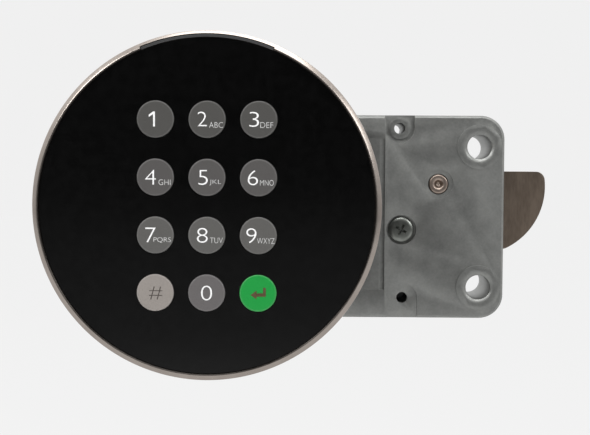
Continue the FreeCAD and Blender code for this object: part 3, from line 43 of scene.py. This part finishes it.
# The view: a camera a third of a metre in front of the lock, turned a little to the left and looking down
# slightly, as in a product photograph taken with a short telephoto lens.
frame_width = 590
focal_px = 1150
pan, tilt, roll = math.radians(-0.45), math.radians(2.54), math.radians(0.36)
camera = bpy.data.objects.new("camera", bpy.data.cameras.new("camera"))
bpy.context.scene.collection.objects.link(camera)
camera.data.sensor_width = 36
camera.data.lens = 36 * focal_px / frame_width
camera.data.clip_start = 0.01
camera.location = Vector((-18.0, -337.7, 14.6)) * MM
aimed = Matrix.Rotation(-pan, 4, "Z") @ Matrix.Rotation(math.pi / 2 - tilt, 4, "X")
camera.rotation_euler = (aimed @ Matrix.Rotation(roll, 4, "Z")).to_euler()
bpy.context.scene.camera = camera
bpy.context.scene.view_settings.view_transform = "Standard"


# The studio: pale paper under the lock, a light tent that is bright overhead and fades towards the
# photographer, and three soft lamps. Mirrored in metal, the paper fades towards the photographer too.
def linear(colour):
    """A hex colour as four linear numbers."""
    parts = [int(colour[k:k + 2], 16) / 255 for k in (1, 3, 5)]
    return [c / 12.92 if c <= 0.04045 else ((c + 0.055) / 1.055) ** 2.4 for c in parts] + [1]


def add_node(tree, kind, values=None, links=None, **settings):
    """One node with its settings, the values of its sockets and the outputs that feed it."""
    made = tree.nodes.new(kind)
    for name, value in settings.items():
        setattr(made, name, value)
    for socket, value in (values or {}).items():
        made.inputs[socket].default_value = value
    for socket, output in (links or {}).items():
        tree.links.new(output, made.inputs[socket])
    return made


def new_material(name, sockets):
    """A material with only its main shader, whose fixed values are set on the sockets themselves."""
    made = bpy.data.materials.new(name)
    made.use_nodes = True
    shader = made.node_tree.nodes["Principled BSDF"]
    for socket, value in sockets.items():
        shader.inputs[socket].default_value = value
    return made, made.node_tree, shader


def dress(piece, *materials):
    """Give a piece these materials in place of what it has."""
    piece.data.materials.clear()
    for one in materials:
        piece.data.materials.append(one)


PAPER = "#F0F0F0"
paper, paper_tree, paper_shader = new_material("pale paper", {"Base Color": linear(PAPER), "Roughness": 0.9})
paper_path = add_node(paper_tree, "ShaderNodeLightPath")
paper_place = add_node(paper_tree, "ShaderNodeSeparateXYZ", links={
    0: add_node(paper_tree, "ShaderNodeTexCoord").outputs["Object"]})
paper_mirrored = add_node(paper_tree, "ShaderNodeMapRange",
                          {"From Min": -0.7, "From Max": -0.3, "To Min": 0.15, "To Max": 0.9},
                          {"Value": paper_place.outputs["Y"]})
paper_level = add_node(paper_tree, "ShaderNodeMix", {3: 1.0},
                       {0: paper_path.outputs["Is Camera Ray"], 2: paper_mirrored.outputs[0]})
paper_seen = add_node(paper_tree, "ShaderNodeMath", operation="MAXIMUM", links={
    0: paper_path.outputs["Is Camera Ray"], 1: paper_path.outputs["Is Glossy Ray"]})
paper_part = add_node(paper_tree, "ShaderNodeMath", {1: 0.93}, {0: paper_seen.outputs[0]}, operation="MULTIPLY")
paper_glow = add_node(paper_tree, "ShaderNodeEmission", {"Color": linear(PAPER)},
                      {"Strength": paper_level.outputs[0]})
paper_both = add_node(paper_tree, "ShaderNodeMixShader",
                      links={0: paper_part.outputs[0], 1: paper_shader.outputs[0], 2: paper_glow.outputs[0]})
paper_tree.links.new(paper_both.outputs[0], paper_tree.nodes["Material Output"].inputs["Surface"])

bpy.ops.object.select_all(action="DESELECT")
bpy.ops.mesh.primitive_plane_add(size=6, location=(0, 0, -0.14))
floor = bpy.context.object
floor.name = "studio_floor"
dress(floor, paper)

world = bpy.data.worlds.new("light tent")
bpy.context.scene.world = world
world.use_nodes = True
sky = world.node_tree.nodes["Background"]
sky.inputs["Color"].default_value = linear(PAPER)
sky_path = add_node(world.node_tree, "ShaderNodeLightPath")
sky_seen = add_node(world.node_tree, "ShaderNodeMath", operation="MAXIMUM",
                    links={0: sky_path.outputs["Is Camera Ray"], 1: sky_path.outputs["Is Transmission Ray"]})
sky_way = add_node(world.node_tree, "ShaderNodeSeparateXYZ", links={
    0: add_node(world.node_tree, "ShaderNodeTexCoord").outputs["Generated"]})
sky_height = add_node(world.node_tree, "ShaderNodeMapRange",
                      {"From Min": -0.3, "From Max": 0.6, "To Min": 0.65, "To Max": 1.25},
                      {"Value": sky_way.outputs["Z"]})
sky_front = add_node(world.node_tree, "ShaderNodeMapRange",
                     {"From Min": -1.0, "From Max": 0.0, "To Min": 0.04, "To Max": 1.2},
                     {"Value": sky_way.outputs["Y"]})
sky_tent = add_node(world.node_tree, "ShaderNodeMath", operation="MULTIPLY",
                    links={0: sky_height.outputs[0], 1: sky_front.outputs[0]})
sky_level = add_node(world.node_tree, "ShaderNodeMix", {3: 1.0}, {0: sky_seen.outputs[0], 2: sky_tent.outputs[0]})
world.node_tree.links.new(sky_level.outputs[0], sky.inputs["Strength"])


def soft_lamp(name, place, width, height, power):
    """A rectangular soft lamp that looks at the lock; lengths in metres, power in watts."""
    lamp = bpy.data.lights.new(name, "AREA")
    lamp.shape = "RECTANGLE"
    lamp.size, lamp.size_y, lamp.energy = width, height, power
    made = bpy.data.objects.new(name, lamp)
    bpy.context.scene.collection.objects.link(made)
    made.location = place
    made.rotation_euler = (-Vector(place)).to_track_quat("-Z", "Y").to_euler()


soft_lamp("top lamp", (0.05, -0.4, 0.75), 0.7, 0.4, 3.6)
soft_lamp("left lamp", (-0.6, -0.6, 0.5), 0.3, 0.3, 2.6)
soft_lamp("right lamp", (0.65, -0.6, 0.4), 0.3, 0.3, 1.6)


# The lock case: a zinc pressure casting, tumbled and left bare, so its skin is a cloudy mid grey with soft
# edges. Parting-line dust and small pores give it specks; the rings round the holes are cast with it.
def copied(node, name):
    """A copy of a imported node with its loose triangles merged, selected and active."""
    piece = bpy.data.objects.new(name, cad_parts[node].data.copy())
    bpy.context.scene.collection.objects.link(piece)
    bpy.ops.object.select_all(action="DESELECT")
    bpy.context.view_layer.objects.active = piece
    piece.select_set(True)
    bpy.ops.object.mode_set(mode="EDIT")
    bpy.ops.mesh.select_all(action="SELECT")
    bpy.ops.mesh.remove_doubles(threshold=2e-6)
    bpy.ops.mesh.dissolve_limited(angle_limit=math.radians(0.5))
    bpy.ops.mesh.select_all(action="DESELECT")
    bpy.ops.object.mode_set(mode="OBJECT")
    return piece


def soften(piece, width):
    """Round the edges of the active piece, by a width in mm."""
    bevel = piece.modifiers.new("edges", "BEVEL")
    bevel.width, bevel.segments = width * MM, 2
    bevel.limit_method, bevel.angle_limit = "ANGLE", math.radians(30)
    bpy.ops.object.modifier_apply(modifier=bevel.name)
    bpy.ops.object.shade_smooth_by_angle(angle=math.radians(30))


def casting(name, dark, light, metallic, roughness, stretch=(1, 1, 1)):
    """A tumbled casting: clouds some 4 mm across, specks of 0.7 mm and a fine pebbled skin. Grit is finer
    than that on the real one, and is drawn this coarse so that it shows."""
    made, tree, shader = new_material(name, {"Metallic": metallic})
    place = add_node(tree, "ShaderNodeMapping", {"Scale": [s / MM for s in stretch]},
                     {"Vector": add_node(tree, "ShaderNodeTexCoord").outputs["Object"]}).outputs[0]
    cloud = add_node(tree, "ShaderNodeTexNoise", {"Scale": 1 / 4.0, "Detail": 5.0, "Roughness": 0.6},
                     {"Vector": place})
    speck = add_node(tree, "ShaderNodeTexNoise", {"Scale": 1 / 0.7, "Detail": 3.0}, {"Vector": place})
    both = add_node(tree, "ShaderNodeMix", {0: 0.4}, {2: cloud.outputs["Fac"], 3: speck.outputs["Fac"]})
    ramp = add_node(tree, "ShaderNodeValToRGB", links={"Fac": both.outputs[0]})
    ramp.color_ramp.elements[0].color = linear(dark)
    ramp.color_ramp.elements[0].position = 0.36
    ramp.color_ramp.elements[1].color = linear(light)
    ramp.color_ramp.elements[1].position = 0.64
    tree.links.new(ramp.outputs["Color"], shader.inputs["Base Color"])
    gloss = add_node(tree, "ShaderNodeMapRange", {"To Min": roughness[0], "To Max": roughness[1]},
                     {"Value": both.outputs[0]})
    tree.links.new(gloss.outputs[0], shader.inputs["Roughness"])
    bump = add_node(tree, "ShaderNodeBump", {"Strength": 1.0, "Distance": 0.015 * MM},
                    {"Height": speck.outputs["Fac"]})
    tree.links.new(bump.outputs["Normal"], shader.inputs["Normal"])
    return made


zinc_casting = casting("tumbled zinc casting", "#858684", "#949592", 0.85, (0.34, 0.48))
case = copied("lock_case", "lock_case_cast")
soften(case, 0.3)
dress(case, zinc_casting)
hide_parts("lock_case")
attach(case, "lock_set")


# The bolt: the same alloy with a brown-grey conversion coat, brushed upright on its face. Its flat top is
# chamfered along the front, where the strike wipes over it.
CLEAR_OF_CASE, TOP_CHAMFER = 42, 0.7
bolt_casting = casting("brown coated zinc casting", "#5A4F45", "#6E6257", 0.7, (0.34, 0.46), (1, 1, 0.25))
bolt = copied("swing_bolt", "swing_bolt_cast")
nose = [v.co for v in bolt.data.vertices if v.co.x > CLEAR_OF_CASE * MM]
nose_top, nose_front = max(co.z for co in nose), min(co.y for co in nose)
for edge in bolt.data.edges:
    ends = [bolt.data.vertices[k].co for k in edge.vertices]
    edge.select = all(abs(co.z - nose_top) < 1e-5 and abs(co.y - nose_front) < 1e-5 for co in ends)
bpy.context.tool_settings.mesh_select_mode = (False, True, False)
bpy.ops.object.mode_set(mode="EDIT")
bpy.ops.mesh.bevel(offset=TOP_CHAMFER * MM, segments=1)
bpy.ops.object.mode_set(mode="OBJECT")
soften(bolt, 0.25)
dress(bolt, bolt_casting)
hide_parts("swing_bolt")
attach(bolt, "bolt")


# The block screw: a cold-headed steel screw with a low domed head and a tapered cross recess, zinc plated
# and passivated to a grey-green, sunk in its counterbore with a dark gap all round.
def turned(name, profile, centre, sides=192, closed=False):
    """A shape turned about a line along Y, drawn out ring by ring from pairs of radius and depth in mm.
    A closed profile is a ring; any other starts from a flat disc, whose face is pushed along the profile."""
    bpy.ops.object.select_all(action="DESELECT")
    radius, depth = profile[0]
    bpy.ops.mesh.primitive_circle_add(
        vertices=sides, radius=radius * MM, fill_type="NOTHING" if closed else "NGON",
        location=Vector((centre[0], depth, centre[1])) * MM, rotation=(math.pi / 2, 0, 0),
    )
    piece = bpy.context.object
    piece.name = name
    bpy.context.tool_settings.mesh_select_mode = (True, False, False)
    bpy.ops.object.mode_set(mode="EDIT")
    for next_radius, next_depth in profile[1:] + (profile[:1] if closed else []):
        bpy.ops.mesh.extrude_region_move(TRANSFORM_OT_translate={"value": (0, (next_depth - depth) * MM, 0)})
        if next_radius != radius:
            bpy.ops.transform.resize(value=[next_radius / radius] * 3)
        radius, depth = next_radius, next_depth
    bpy.ops.mesh.select_all(action="SELECT")
    bpy.ops.mesh.remove_doubles(threshold=1e-6)
    bpy.ops.mesh.normals_make_consistent(inside=False)
    bpy.ops.object.mode_set(mode="OBJECT")
    bpy.ops.object.transform_apply(location=True, rotation=True, scale=True)
    bpy.ops.object.shade_smooth_by_angle(angle=math.radians(35))
    return piece


def cut(piece, tool):
    """Cut one piece with another, which is used up."""
    bpy.ops.object.select_all(action="DESELECT")
    bpy.context.view_layer.objects.active = piece
    piece.select_set(True)
    knife = piece.modifiers.new("cut", "BOOLEAN")
    knife.operation, knife.solver, knife.object = "DIFFERENCE", "EXACT", tool
    bpy.ops.object.modifier_apply(modifier=knife.name)
    bpy.data.objects.remove(tool, do_unlink=True)
    bpy.ops.object.shade_smooth_by_angle(angle=math.radians(35))


def finish(name, dark, light, grain, relief, roughness, sockets):
    """A surface whose tone wanders between two colours, with a fine relief. Grain and relief are in mm."""
    made, tree, shader = new_material(name, sockets)
    place = add_node(tree, "ShaderNodeTexCoord").outputs["Object"]
    spread = add_node(tree, "ShaderNodeMapping", {"Scale": [1 / (grain * MM)] * 3}, {"Vector": place})
    tone = add_node(tree, "ShaderNodeTexNoise", {"Scale": 0.25, "Detail": 2.0}, {"Vector": spread.outputs[0]})
    ramp = add_node(tree, "ShaderNodeValToRGB", links={"Fac": tone.outputs["Fac"]})
    ramp.color_ramp.elements[0].color = linear(dark)
    ramp.color_ramp.elements[0].position = 0.36
    ramp.color_ramp.elements[1].color = linear(light)
    ramp.color_ramp.elements[1].position = 0.66
    tree.links.new(ramp.outputs["Color"], shader.inputs["Base Color"])
    fine = add_node(tree, "ShaderNodeTexNoise", {"Scale": 1.0, "Detail": 4.0}, {"Vector": spread.outputs[0]})
    gloss = add_node(tree, "ShaderNodeMapRange", {"To Min": roughness[0], "To Max": roughness[1]},
                     {"Value": fine.outputs["Fac"]})
    tree.links.new(gloss.outputs[0], shader.inputs["Roughness"])
    bump = add_node(tree, "ShaderNodeBump", {"Strength": 1.0, "Distance": relief * MM},
                    {"Height": fine.outputs["Fac"]})
    tree.links.new(bump.outputs["Normal"], shader.inputs["Normal"])
    return made


grey_zinc = finish("passivated zinc plate", "#7D807B", "#90938E", 0.5, 0.004, (0.26, 0.38), {"Metallic": 1.0})
SCREW_X, SCREW_Z, SCREW_FRONT, SCREW_TURN = 10.65, -3.8, 0.8, 28
CROSS_SPAN, CROSS_DEEP, CROSS_WIDTH, CROSS_TAPER = 4.0, 1.5, 0.85, 0.45
screw = turned("block_screw_plated", [
    (1.7, 8.6), (2.0, 8.2), (2.0, 2.2), (3.65, 2.2), (3.65, 1.5), (3.55, 1.2), (3.2, 0.98), (2.5, 0.86),
    (1.2, SCREW_FRONT),
], (SCREW_X, SCREW_Z), 64)
for arm in (0, 90):
    bpy.ops.object.select_all(action="DESELECT")
    bpy.ops.mesh.primitive_cube_add(size=MM, location=Vector((SCREW_X, SCREW_FRONT + 0.35, SCREW_Z)) * MM)
    wing = bpy.context.object
    wing.scale = (CROSS_SPAN, CROSS_DEEP, CROSS_WIDTH)
    wing.rotation_euler = (0, math.radians(SCREW_TURN + arm), 0)
    bpy.context.tool_settings.mesh_select_mode = (False, False, True)
    bpy.ops.object.mode_set(mode="EDIT")
    bpy.ops.mesh.select_all(action="DESELECT")
    bpy.ops.object.mode_set(mode="OBJECT")
    for face in wing.data.polygons:
        face.select = face.normal.y > 0.9
    bpy.ops.object.mode_set(mode="EDIT")
    bpy.ops.transform.resize(value=[CROSS_TAPER] * 3)
    bpy.ops.object.mode_set(mode="OBJECT")
    bpy.ops.object.transform_apply(location=True, rotation=True, scale=True)
    cut(screw, wing)
dress(screw, grey_zinc)
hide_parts("block_screw")
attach(screw, "lock_set")


# The guide pin: a turned steel pin, warm nickel plated, staked in the front wall. The staking punch leaves a
# rounded shoulder and a smooth dimple in its end.
PIN_X, PIN_Z = 21.45, 9.7
warm_nickel = finish("warm nickel plate", "#A3948A", "#B0A196", 0.8, 0.002, (0.34, 0.42), {"Metallic": 1.0})
guide_pin = turned("guide_pin_staked", [
    (2.0, 22.0), (2.0, 4.4), (3.7, 4.4), (3.7, 3.4), (2.8, 3.4), (2.8, 0.95), (2.72, 0.76), (2.55, 0.64),
    (2.3, 0.6), (1.7, 0.61), (1.4, 0.7), (1.15, 0.95), (0.9, 1.4), (0.6, 1.8), (0.15, 1.95),
], (PIN_X, PIN_Z), 96)
dress(guide_pin, warm_nickel)
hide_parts("guide_pin")
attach(guide_pin, "lock_set")


# The lock's cover and what lies behind it. Cover, screws, pin, spring, slide and drive are zinc plated steel,
# the bearing block is a zinc casting, and the motor's cradle is moulded.
def dress_node(name, *materials):
    """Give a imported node's slots these materials; its mesh stays as it is."""
    for k, slot in enumerate(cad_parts[name].material_slots):
        slot.material = materials[min(k, len(materials) - 1)]


zinc_plate = finish("zinc plated sheet steel", "#8E9092", "#A3A5A6", 2.5, 0.003, (0.3, 0.45), {"Metallic": 1.0})
for name in ("lock_cover", "cover_screws", "bolt_pivot_pin", "locking_slide", "drive_screw", "drive_motor",
             "bolt_spring", "lock_board_screws"):
    dress_node(name, zinc_plate)
dress_node("bearing_block", zinc_casting)
glass_nylon = finish("glass-filled nylon", "#1D1D1E", "#262627", 0.4, 0.01, (0.5, 0.62), {"IOR": 1.53})
dress_node("motor_cradle", glass_nylon)


# The circuit boards with what is soldered to them: green solder mask over glass cloth, chips of black epoxy,
# key switches with black bodies.
solder_mask = finish("green solder mask", "#14502E", "#1A5E38", 0.8, 0.002, (0.25, 0.4), {"IOR": 1.5})
chip_epoxy = finish("black moulded epoxy", "#1B1B1C", "#232324", 0.3, 0.004, (0.45, 0.6), {"IOR": 1.5})
for name in ("keypad_board", "lock_board"):
    dress_node(name, solder_mask)
for name in ("key_switches", "keypad_chip", "lock_chip", "bolt_switch"):
    dress_node(name, chip_epoxy)


# The cable jack in the case's left wall and the socket on the keypad's board: moulded of natural nylon.
natural_nylon = finish("natural nylon", "#CFCBBF", "#DAD6CB", 1.0, 0.003, (0.35, 0.5), {"IOR": 1.53})
for name in ("keypad_socket", "cable_jack"):
    dress_node(name, natural_nylon)


# The keypad's housing, base plate, battery drawer, buzzer and contact block: moulded of black ABS with a
# fine spark-eroded grain, drawn coarser here than the real 0.1 mm so that it shows. Its screws are plated.
black_abs = finish("spark-eroded black ABS", "#151515", "#1B1B1B", 0.35, 0.012, (0.45, 0.6), {"IOR": 1.5})
for name in ("rear_housing", "base_plate", "battery_tray", "buzzer", "battery_contacts"):
    dress_node(name, black_abs)
dress_node("board_screws", zinc_plate)


# The battery and the light guide: a lacquered steel can, and a sheet of clear acrylic.
battery_lacquer = finish("lacquered steel can", "#26282C", "#303338", 3.0, 0.001, (0.25, 0.35), {"Metallic": 0.3})
clear_acrylic = finish("clear acrylic", "#C8CCCE", "#D2D6D8", 2.0, 0.0005, (0.1, 0.2), {"IOR": 1.49})
dress_node("battery", battery_lacquer)
dress_node("light_guide", clear_acrylic)


# The bezel ring: turned of zinc alloy and satin nickel plated. A narrow rounded lip stands round the panel,
# and the ring slopes back from it to its rim. A seat for the window is cut in its top.
KEYPAD = (-44.2, 3.7)
WINDOW_SWEEP = 46.0
satin_nickel = finish("satin nickel plate", "#A59C95", "#ADA49D", 1.2, 0.0012, (0.22, 0.3), {"Metallic": 1.0})


def arc_of(piece, sweep):
    """Keep only the arc at the top of a turned piece, so many degrees wide."""
    bpy.ops.object.select_all(action="DESELECT")
    bpy.context.view_layer.objects.active = piece
    piece.select_set(True)
    bpy.ops.object.mode_set(mode="EDIT")
    lean = math.radians(sweep / 2)
    for side in (-1, 1):
        bpy.ops.mesh.select_all(action="SELECT")
        bpy.ops.mesh.bisect(plane_co=Vector((KEYPAD[0], 0, KEYPAD[1])) * MM,
                            plane_no=(side * math.cos(lean), 0, -math.sin(lean)), use_fill=True, clear_outer=True)
    bpy.ops.mesh.select_all(action="SELECT")
    bpy.ops.mesh.normals_make_consistent(inside=False)
    bpy.ops.object.mode_set(mode="OBJECT")
    return piece


bezel = turned("bezel_ring_satin", [
    (46.7, -21.5), (47.15, -27.6), (47.2, -28.0), (47.14, -28.28), (46.95, -28.42), (46.1, -28.9), (45.95, -28.98),
    (45.8, -29.0), (45.68, -28.97), (45.46, -28.5), (45.45, -28.15), (45.45, -26.7), (43.9, -26.7), (43.9, -25.5),
    (45.3, -25.5), (45.3, -21.5),
], KEYPAD, closed=True)
cut(bezel, arc_of(turned("window_seat", [(44.4, -27.0), (46.4, -27.0), (46.4, -29.6), (44.4, -29.6)], KEYPAD,
                         closed=True), WINDOW_SWEEP))
dress(bezel, satin_nickel)
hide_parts("bezel_ring")
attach(bezel, "lock_set")


# The status window: an arc of smoked polycarbonate in the top of the ring, with faint paler and darker streaks
# running along it. Unlit, it is a dark grey. It is half a degree narrower than its seat.
WINDOW_PLAY = 0.5
smoked, smoked_tree, smoked_shader = new_material("smoked polycarbonate", {"Roughness": 0.16, "IOR": 1.58})
smoked_place = add_node(smoked_tree, "ShaderNodeMapping", {"Location": (KEYPAD[0] * -MM, 0, KEYPAD[1] * -MM)},
                        {"Vector": add_node(smoked_tree, "ShaderNodeTexCoord").outputs["Object"]})
smoked_level = add_node(smoked_tree, "ShaderNodeVectorMath", {1: (1, 0, 1)}, {0: smoked_place.outputs[0]},
                        operation="MULTIPLY")
smoked_radius = add_node(smoked_tree, "ShaderNodeVectorMath", links={0: smoked_level.outputs[0]},
                         operation="LENGTH")
smoked_lines = add_node(smoked_tree, "ShaderNodeTexNoise", {"Scale": 3.2 / MM},
                        {"W": smoked_radius.outputs["Value"]}, noise_dimensions="1D")
smoked_ramp = add_node(smoked_tree, "ShaderNodeValToRGB", links={"Fac": smoked_lines.outputs["Fac"]})
smoked_ramp.color_ramp.elements[0].color = linear("#222223")
smoked_ramp.color_ramp.elements[0].position = 0.35
smoked_ramp.color_ramp.elements[1].color = linear("#3C3C3D")
smoked_ramp.color_ramp.elements[1].position = 0.65
smoked_tree.links.new(smoked_ramp.outputs["Color"], smoked_shader.inputs["Base Color"])
window = arc_of(turned("status_window_smoked", [
    (45.5, -27.0), (46.24, -27.0), (46.24, -28.5), (46.15, -28.62), (46.0, -28.66), (45.6, -28.5), (45.5, -28.4),
], KEYPAD, closed=True), WINDOW_SWEEP - WINDOW_PLAY)
bpy.ops.object.shade_smooth_by_angle(angle=math.radians(35))
dress(window, smoked)
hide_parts("status_window")
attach(window, "lock_set")


# The face: a disc of black polycarbonate. Its hard coat mirrors the room faintly, the paper below it most,
# so the face grows a little paler towards its lower edge.
black_coat = finish("hard-coated black polycarbonate", "#030303", "#060606", 0.6, 0.0002, (0.12, 0.18),
                    {"IOR": 1.45})
dress_node("face_panel", black_coat)


# The keys: twelve caps moulded of translucent plastic, each with a soft rounded rim that a painted highlight makes a
# trace paler. The hash key is a warm light grey and the enter key green.
KEY_COLUMN, KEY_ROW, KEY_FACE = 13.9, 15.6, -28.45
KEY_ROWS = (
    ("key_1", "key_2", "key_3"),
    ("key_4", "key_5", "key_6"),
    ("key_7", "key_8", "key_9"),
    ("key_hash", "key_0", "key_enter"),
)
# The keys' grey with painted light: each row down is painted a little paler than the row above it.
ROW_GREYS_PAINTED_PALER_DOWN = ("#484745", "#4E4C4B", "#555452", "#5D5A5A")
OWN_COLOURS = {"key_enter": "#048C36", "key_hash": "#88827D"}
# Each key's print, as characters, width, height, and place from the key's centre, in mm. INK is how thick it is.
INK = 0.02
NUMBERS = {
    "key_2": ("2", 2.5, 4.0, -1.3, 0.05), "key_3": ("3", 2.6, 4.0, -1.25, 0.05),
    "key_4": ("4", 2.9, 4.0, -1.28, 0.0), "key_5": ("5", 2.55, 4.0, -1.03, 0.0),
    "key_6": ("6", 2.75, 4.0, -1.52, 0.0), "key_7": ("7", 2.8, 4.0, -1.28, 0.0),
    "key_8": ("8", 2.9, 4.0, -1.19, 0.0), "key_9": ("9", 2.75, 4.0, -1.85, 0.0),
    "key_0": ("0", 3.0, 4.0, 0.0, 0.0),
}
LETTERS = {
    "key_2": ("ABC", 3.75, 1.5, 2.42, -1.5), "key_3": ("DEF", 3.45, 1.5, 2.15, -1.45),
    "key_4": ("GHI", 3.2, 1.5, 2.5, -1.35), "key_5": ("JKL", 3.15, 1.5, 2.27, -1.35),
    "key_6": ("MNO", 3.7, 1.5, 2.25, -1.35), "key_7": ("PQRS", 4.7, 1.5, 1.9, -1.35),
    "key_8": ("TUV", 3.45, 1.5, 2.6, -1.35), "key_9": ("WXYZ", 4.7, 1.5, 2.05, -1.4),
}


def key_plastic(name, colour, centre):
    """Translucent moulding with a faint mottle; its outermost half millimetre is a trace paler, a painted highlight
    on the rounded rim.
    """
    made, tree, shader = new_material(name, {"IOR": 1.5})
    place = add_node(tree, "ShaderNodeMapping", {"Location": (-centre[0] * MM, 0, -centre[1] * MM)},
                     {"Vector": add_node(tree, "ShaderNodeTexCoord").outputs["Object"]})
    level = add_node(tree, "ShaderNodeVectorMath", {1: (1 / MM, 0, 1 / MM)}, {0: place.outputs[0]},
                     operation="MULTIPLY")
    radius = add_node(tree, "ShaderNodeVectorMath", links={0: level.outputs[0]}, operation="LENGTH")
    # Painted highlight: the ring 4.5 to 4.9 mm from the key's centre is mixed a little towards near-white.
    painted_rim_highlight = add_node(tree, "ShaderNodeMapRange", {"From Min": 4.5, "From Max": 4.9, "To Max": 0.04},
                   {"Value": radius.outputs["Value"]})
    mottle = add_node(tree, "ShaderNodeTexNoise", {"Scale": 1 / (0.5 * MM), "Detail": 3.0},
                      {"Vector": place.outputs[0]})
    shade = add_node(tree, "ShaderNodeMapRange", {"To Min": 0.9, "To Max": 1.1}, {"Value": mottle.outputs["Fac"]})
    toned = add_node(tree, "ShaderNodeVectorMath", {0: linear(colour)[:3]}, {1: shade.outputs[0]},
                     operation="MULTIPLY")
    edge = add_node(tree, "ShaderNodeMix", data_type="RGBA")
    edge.inputs[7].default_value = (0.8, 0.8, 0.78, 1)
    tree.links.new(painted_rim_highlight.outputs[0], edge.inputs[0])
    tree.links.new(toned.outputs[0], edge.inputs[6])
    tree.links.new(edge.outputs[2], shader.inputs["Base Color"])
    gloss = add_node(tree, "ShaderNodeMapRange", {"To Min": 0.3, "To Max": 0.4}, {"Value": mottle.outputs["Fac"]})
    tree.links.new(gloss.outputs[0], shader.inputs["Roughness"])
    return made


def lettering(name, words, width, height, x, z, thin):
    """Printed characters, a hair thicker than the face they stand on, fitted to a width and a height."""
    bpy.ops.object.select_all(action="DESELECT")
    bpy.ops.object.text_add(rotation=(math.pi / 2, 0, 0))
    text = bpy.context.object.data
    text.body = words
    text.size = height / 0.7 * MM
    text.offset = -thin * MM
    text.extrude = INK / 2 * MM
    text.resolution_u = 6
    bpy.ops.object.convert(target="MESH")
    piece = bpy.context.object
    piece.name = name
    bpy.ops.object.origin_set(type="ORIGIN_GEOMETRY", center="BOUNDS")
    piece.scale = (width * MM / piece.dimensions.x, height * MM / piece.dimensions.y, 1)
    piece.location = Vector((x, KEY_FACE, z)) * MM
    bpy.ops.object.transform_apply(location=True, rotation=True, scale=True)
    return piece


key_prints = {
    "white": finish("white key print", "#DEDEDE", "#E8E8E8", 0.4, 0.0005, (0.4, 0.5), {"IOR": 1.5}),
    "grey": finish("grey key print", "#BDBDBC", "#C8C8C7", 0.4, 0.0005, (0.4, 0.5), {"IOR": 1.5}),
    "dark": finish("dark key print", "#3A332F", "#443C38", 0.4, 0.0005, (0.4, 0.5), {"IOR": 1.5}),
    "brown": finish("brown key print", "#4A3A22", "#54432A", 0.4, 0.0005, (0.4, 0.5), {"IOR": 1.5}),
}


def printed(piece, tone, body):
    """Print that goes in with its key."""
    dress(piece, key_prints[tone])
    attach(piece, body)


for row, names in enumerate(KEY_ROWS):
    for column, name in enumerate(names):
        centre = (KEYPAD[0] + (column - 1) * KEY_COLUMN, KEYPAD[1] + (1.5 - row) * KEY_ROW)
        cap = turned(f"{name}_cap", [
            (1.9, -24.1), (1.9, -25.8), (5.9, -25.8), (5.9, -26.5), (5.0, -26.5), (5.0, -28.22), (4.96, -28.33),
            (4.86, -28.42), (4.7, KEY_FACE), (4.3, KEY_FACE), (2.0, KEY_FACE + 0.01),
        ], centre, 96)
        # Each key takes its own colour, or else its row's grey, which carries painted light that is paler towards
        # the bottom row.
        dress(cap, key_plastic(f"{name} translucent ABS", OWN_COLOURS.get(name, ROW_GREYS_PAINTED_PALER_DOWN[row]), centre))
        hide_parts(name)
        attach(cap, name)
        for part, table, tone, thin in (("number", NUMBERS, "white", 0.1), ("letters", LETTERS, "grey", 0.03)):
            if name in table:
                words, width, height, x, z = table[name]
                print_piece = lettering(f"{name}_{part}", words, width, height, centre[0] + x, centre[1] + z, thin)
                printed(print_piece, tone, name)
        if name == "key_hash":
            printed(lettering("key_hash_sign", "#", 3.6, 3.5, centre[0] + 0.15, centre[1] - 0.1, 0.08), "dark", name)


# The two signs that aren't set from the font: the figure 1 with its flag, and the arrow on the enter key,
# which comes down at the right and then points to the left. Both are printed on their keys as the rest is.
def grown(name, x, z, wide, high, growth, tone, body):
    """A printed sign: a rectangle with its sides drawn out, each by steps of way right, way up and size."""
    bpy.ops.object.select_all(action="DESELECT")
    bpy.ops.mesh.primitive_plane_add(size=MM, rotation=(math.pi / 2, 0, 0),
                                     location=Vector((x, KEY_FACE, z)) * MM)
    piece = bpy.context.object
    piece.name = name
    piece.scale = (wide, high, 1)
    bpy.ops.object.transform_apply(location=True, rotation=True, scale=True)
    bpy.context.tool_settings.mesh_select_mode = (False, True, False)
    for (right, up), steps in growth:
        bpy.ops.object.mode_set(mode="EDIT")
        bpy.ops.mesh.select_all(action="DESELECT")
        bpy.ops.object.mode_set(mode="OBJECT")
        side = Vector((x + right * wide / 2, KEY_FACE, z + up * high / 2)) * MM
        points = [v.co for v in piece.data.vertices]
        middles = [(points[edge.vertices[0]] + points[edge.vertices[1]]) / 2 for edge in piece.data.edges]
        nearest = min(range(len(middles)), key=lambda k: (middles[k] - side).length)
        piece.data.edges[nearest].select = True
        bpy.ops.object.mode_set(mode="EDIT")
        for way_right, way_up, size in steps:
            bpy.ops.mesh.extrude_region_move(TRANSFORM_OT_translate={"value": (way_right * MM, 0, way_up * MM)})
            bpy.ops.transform.resize(value=(size, size, size))
        bpy.ops.object.mode_set(mode="OBJECT")
    skin = piece.modifiers.new("ink", "SOLIDIFY")
    skin.thickness, skin.offset = INK * MM, 0
    bpy.ops.object.modifier_apply(modifier=skin.name)
    printed(piece, tone, body)


one_x, one_z = KEYPAD[0] - KEY_COLUMN - 0.35, KEYPAD[1] + 1.5 * KEY_ROW + 1.65
stem, flag = ((0, -1), [(0, -3.3, 1)]), ((-1, 0), [(-1.15, -0.8, 0.85)])
grown("key_1_number", one_x, one_z, 0.5, 0.7, [stem, flag], "white", "key_1")
arrow_x, arrow_z = KEYPAD[0] + KEY_COLUMN + 1.75, KEYPAD[1] - 1.5 * KEY_ROW - 0.45
riser = ((0, 1), [(0, 1.5, 1)])
shaft_and_head = ((-1, 0), [(-1.75, 0, 1), (-0.01, 0, 2.6), (-1.6, 0, 0.03)])
grown("key_enter_arrow", arrow_x, arrow_z, 0.75, 0.9, [riser, shaft_and_head], "brown", "key_enter")
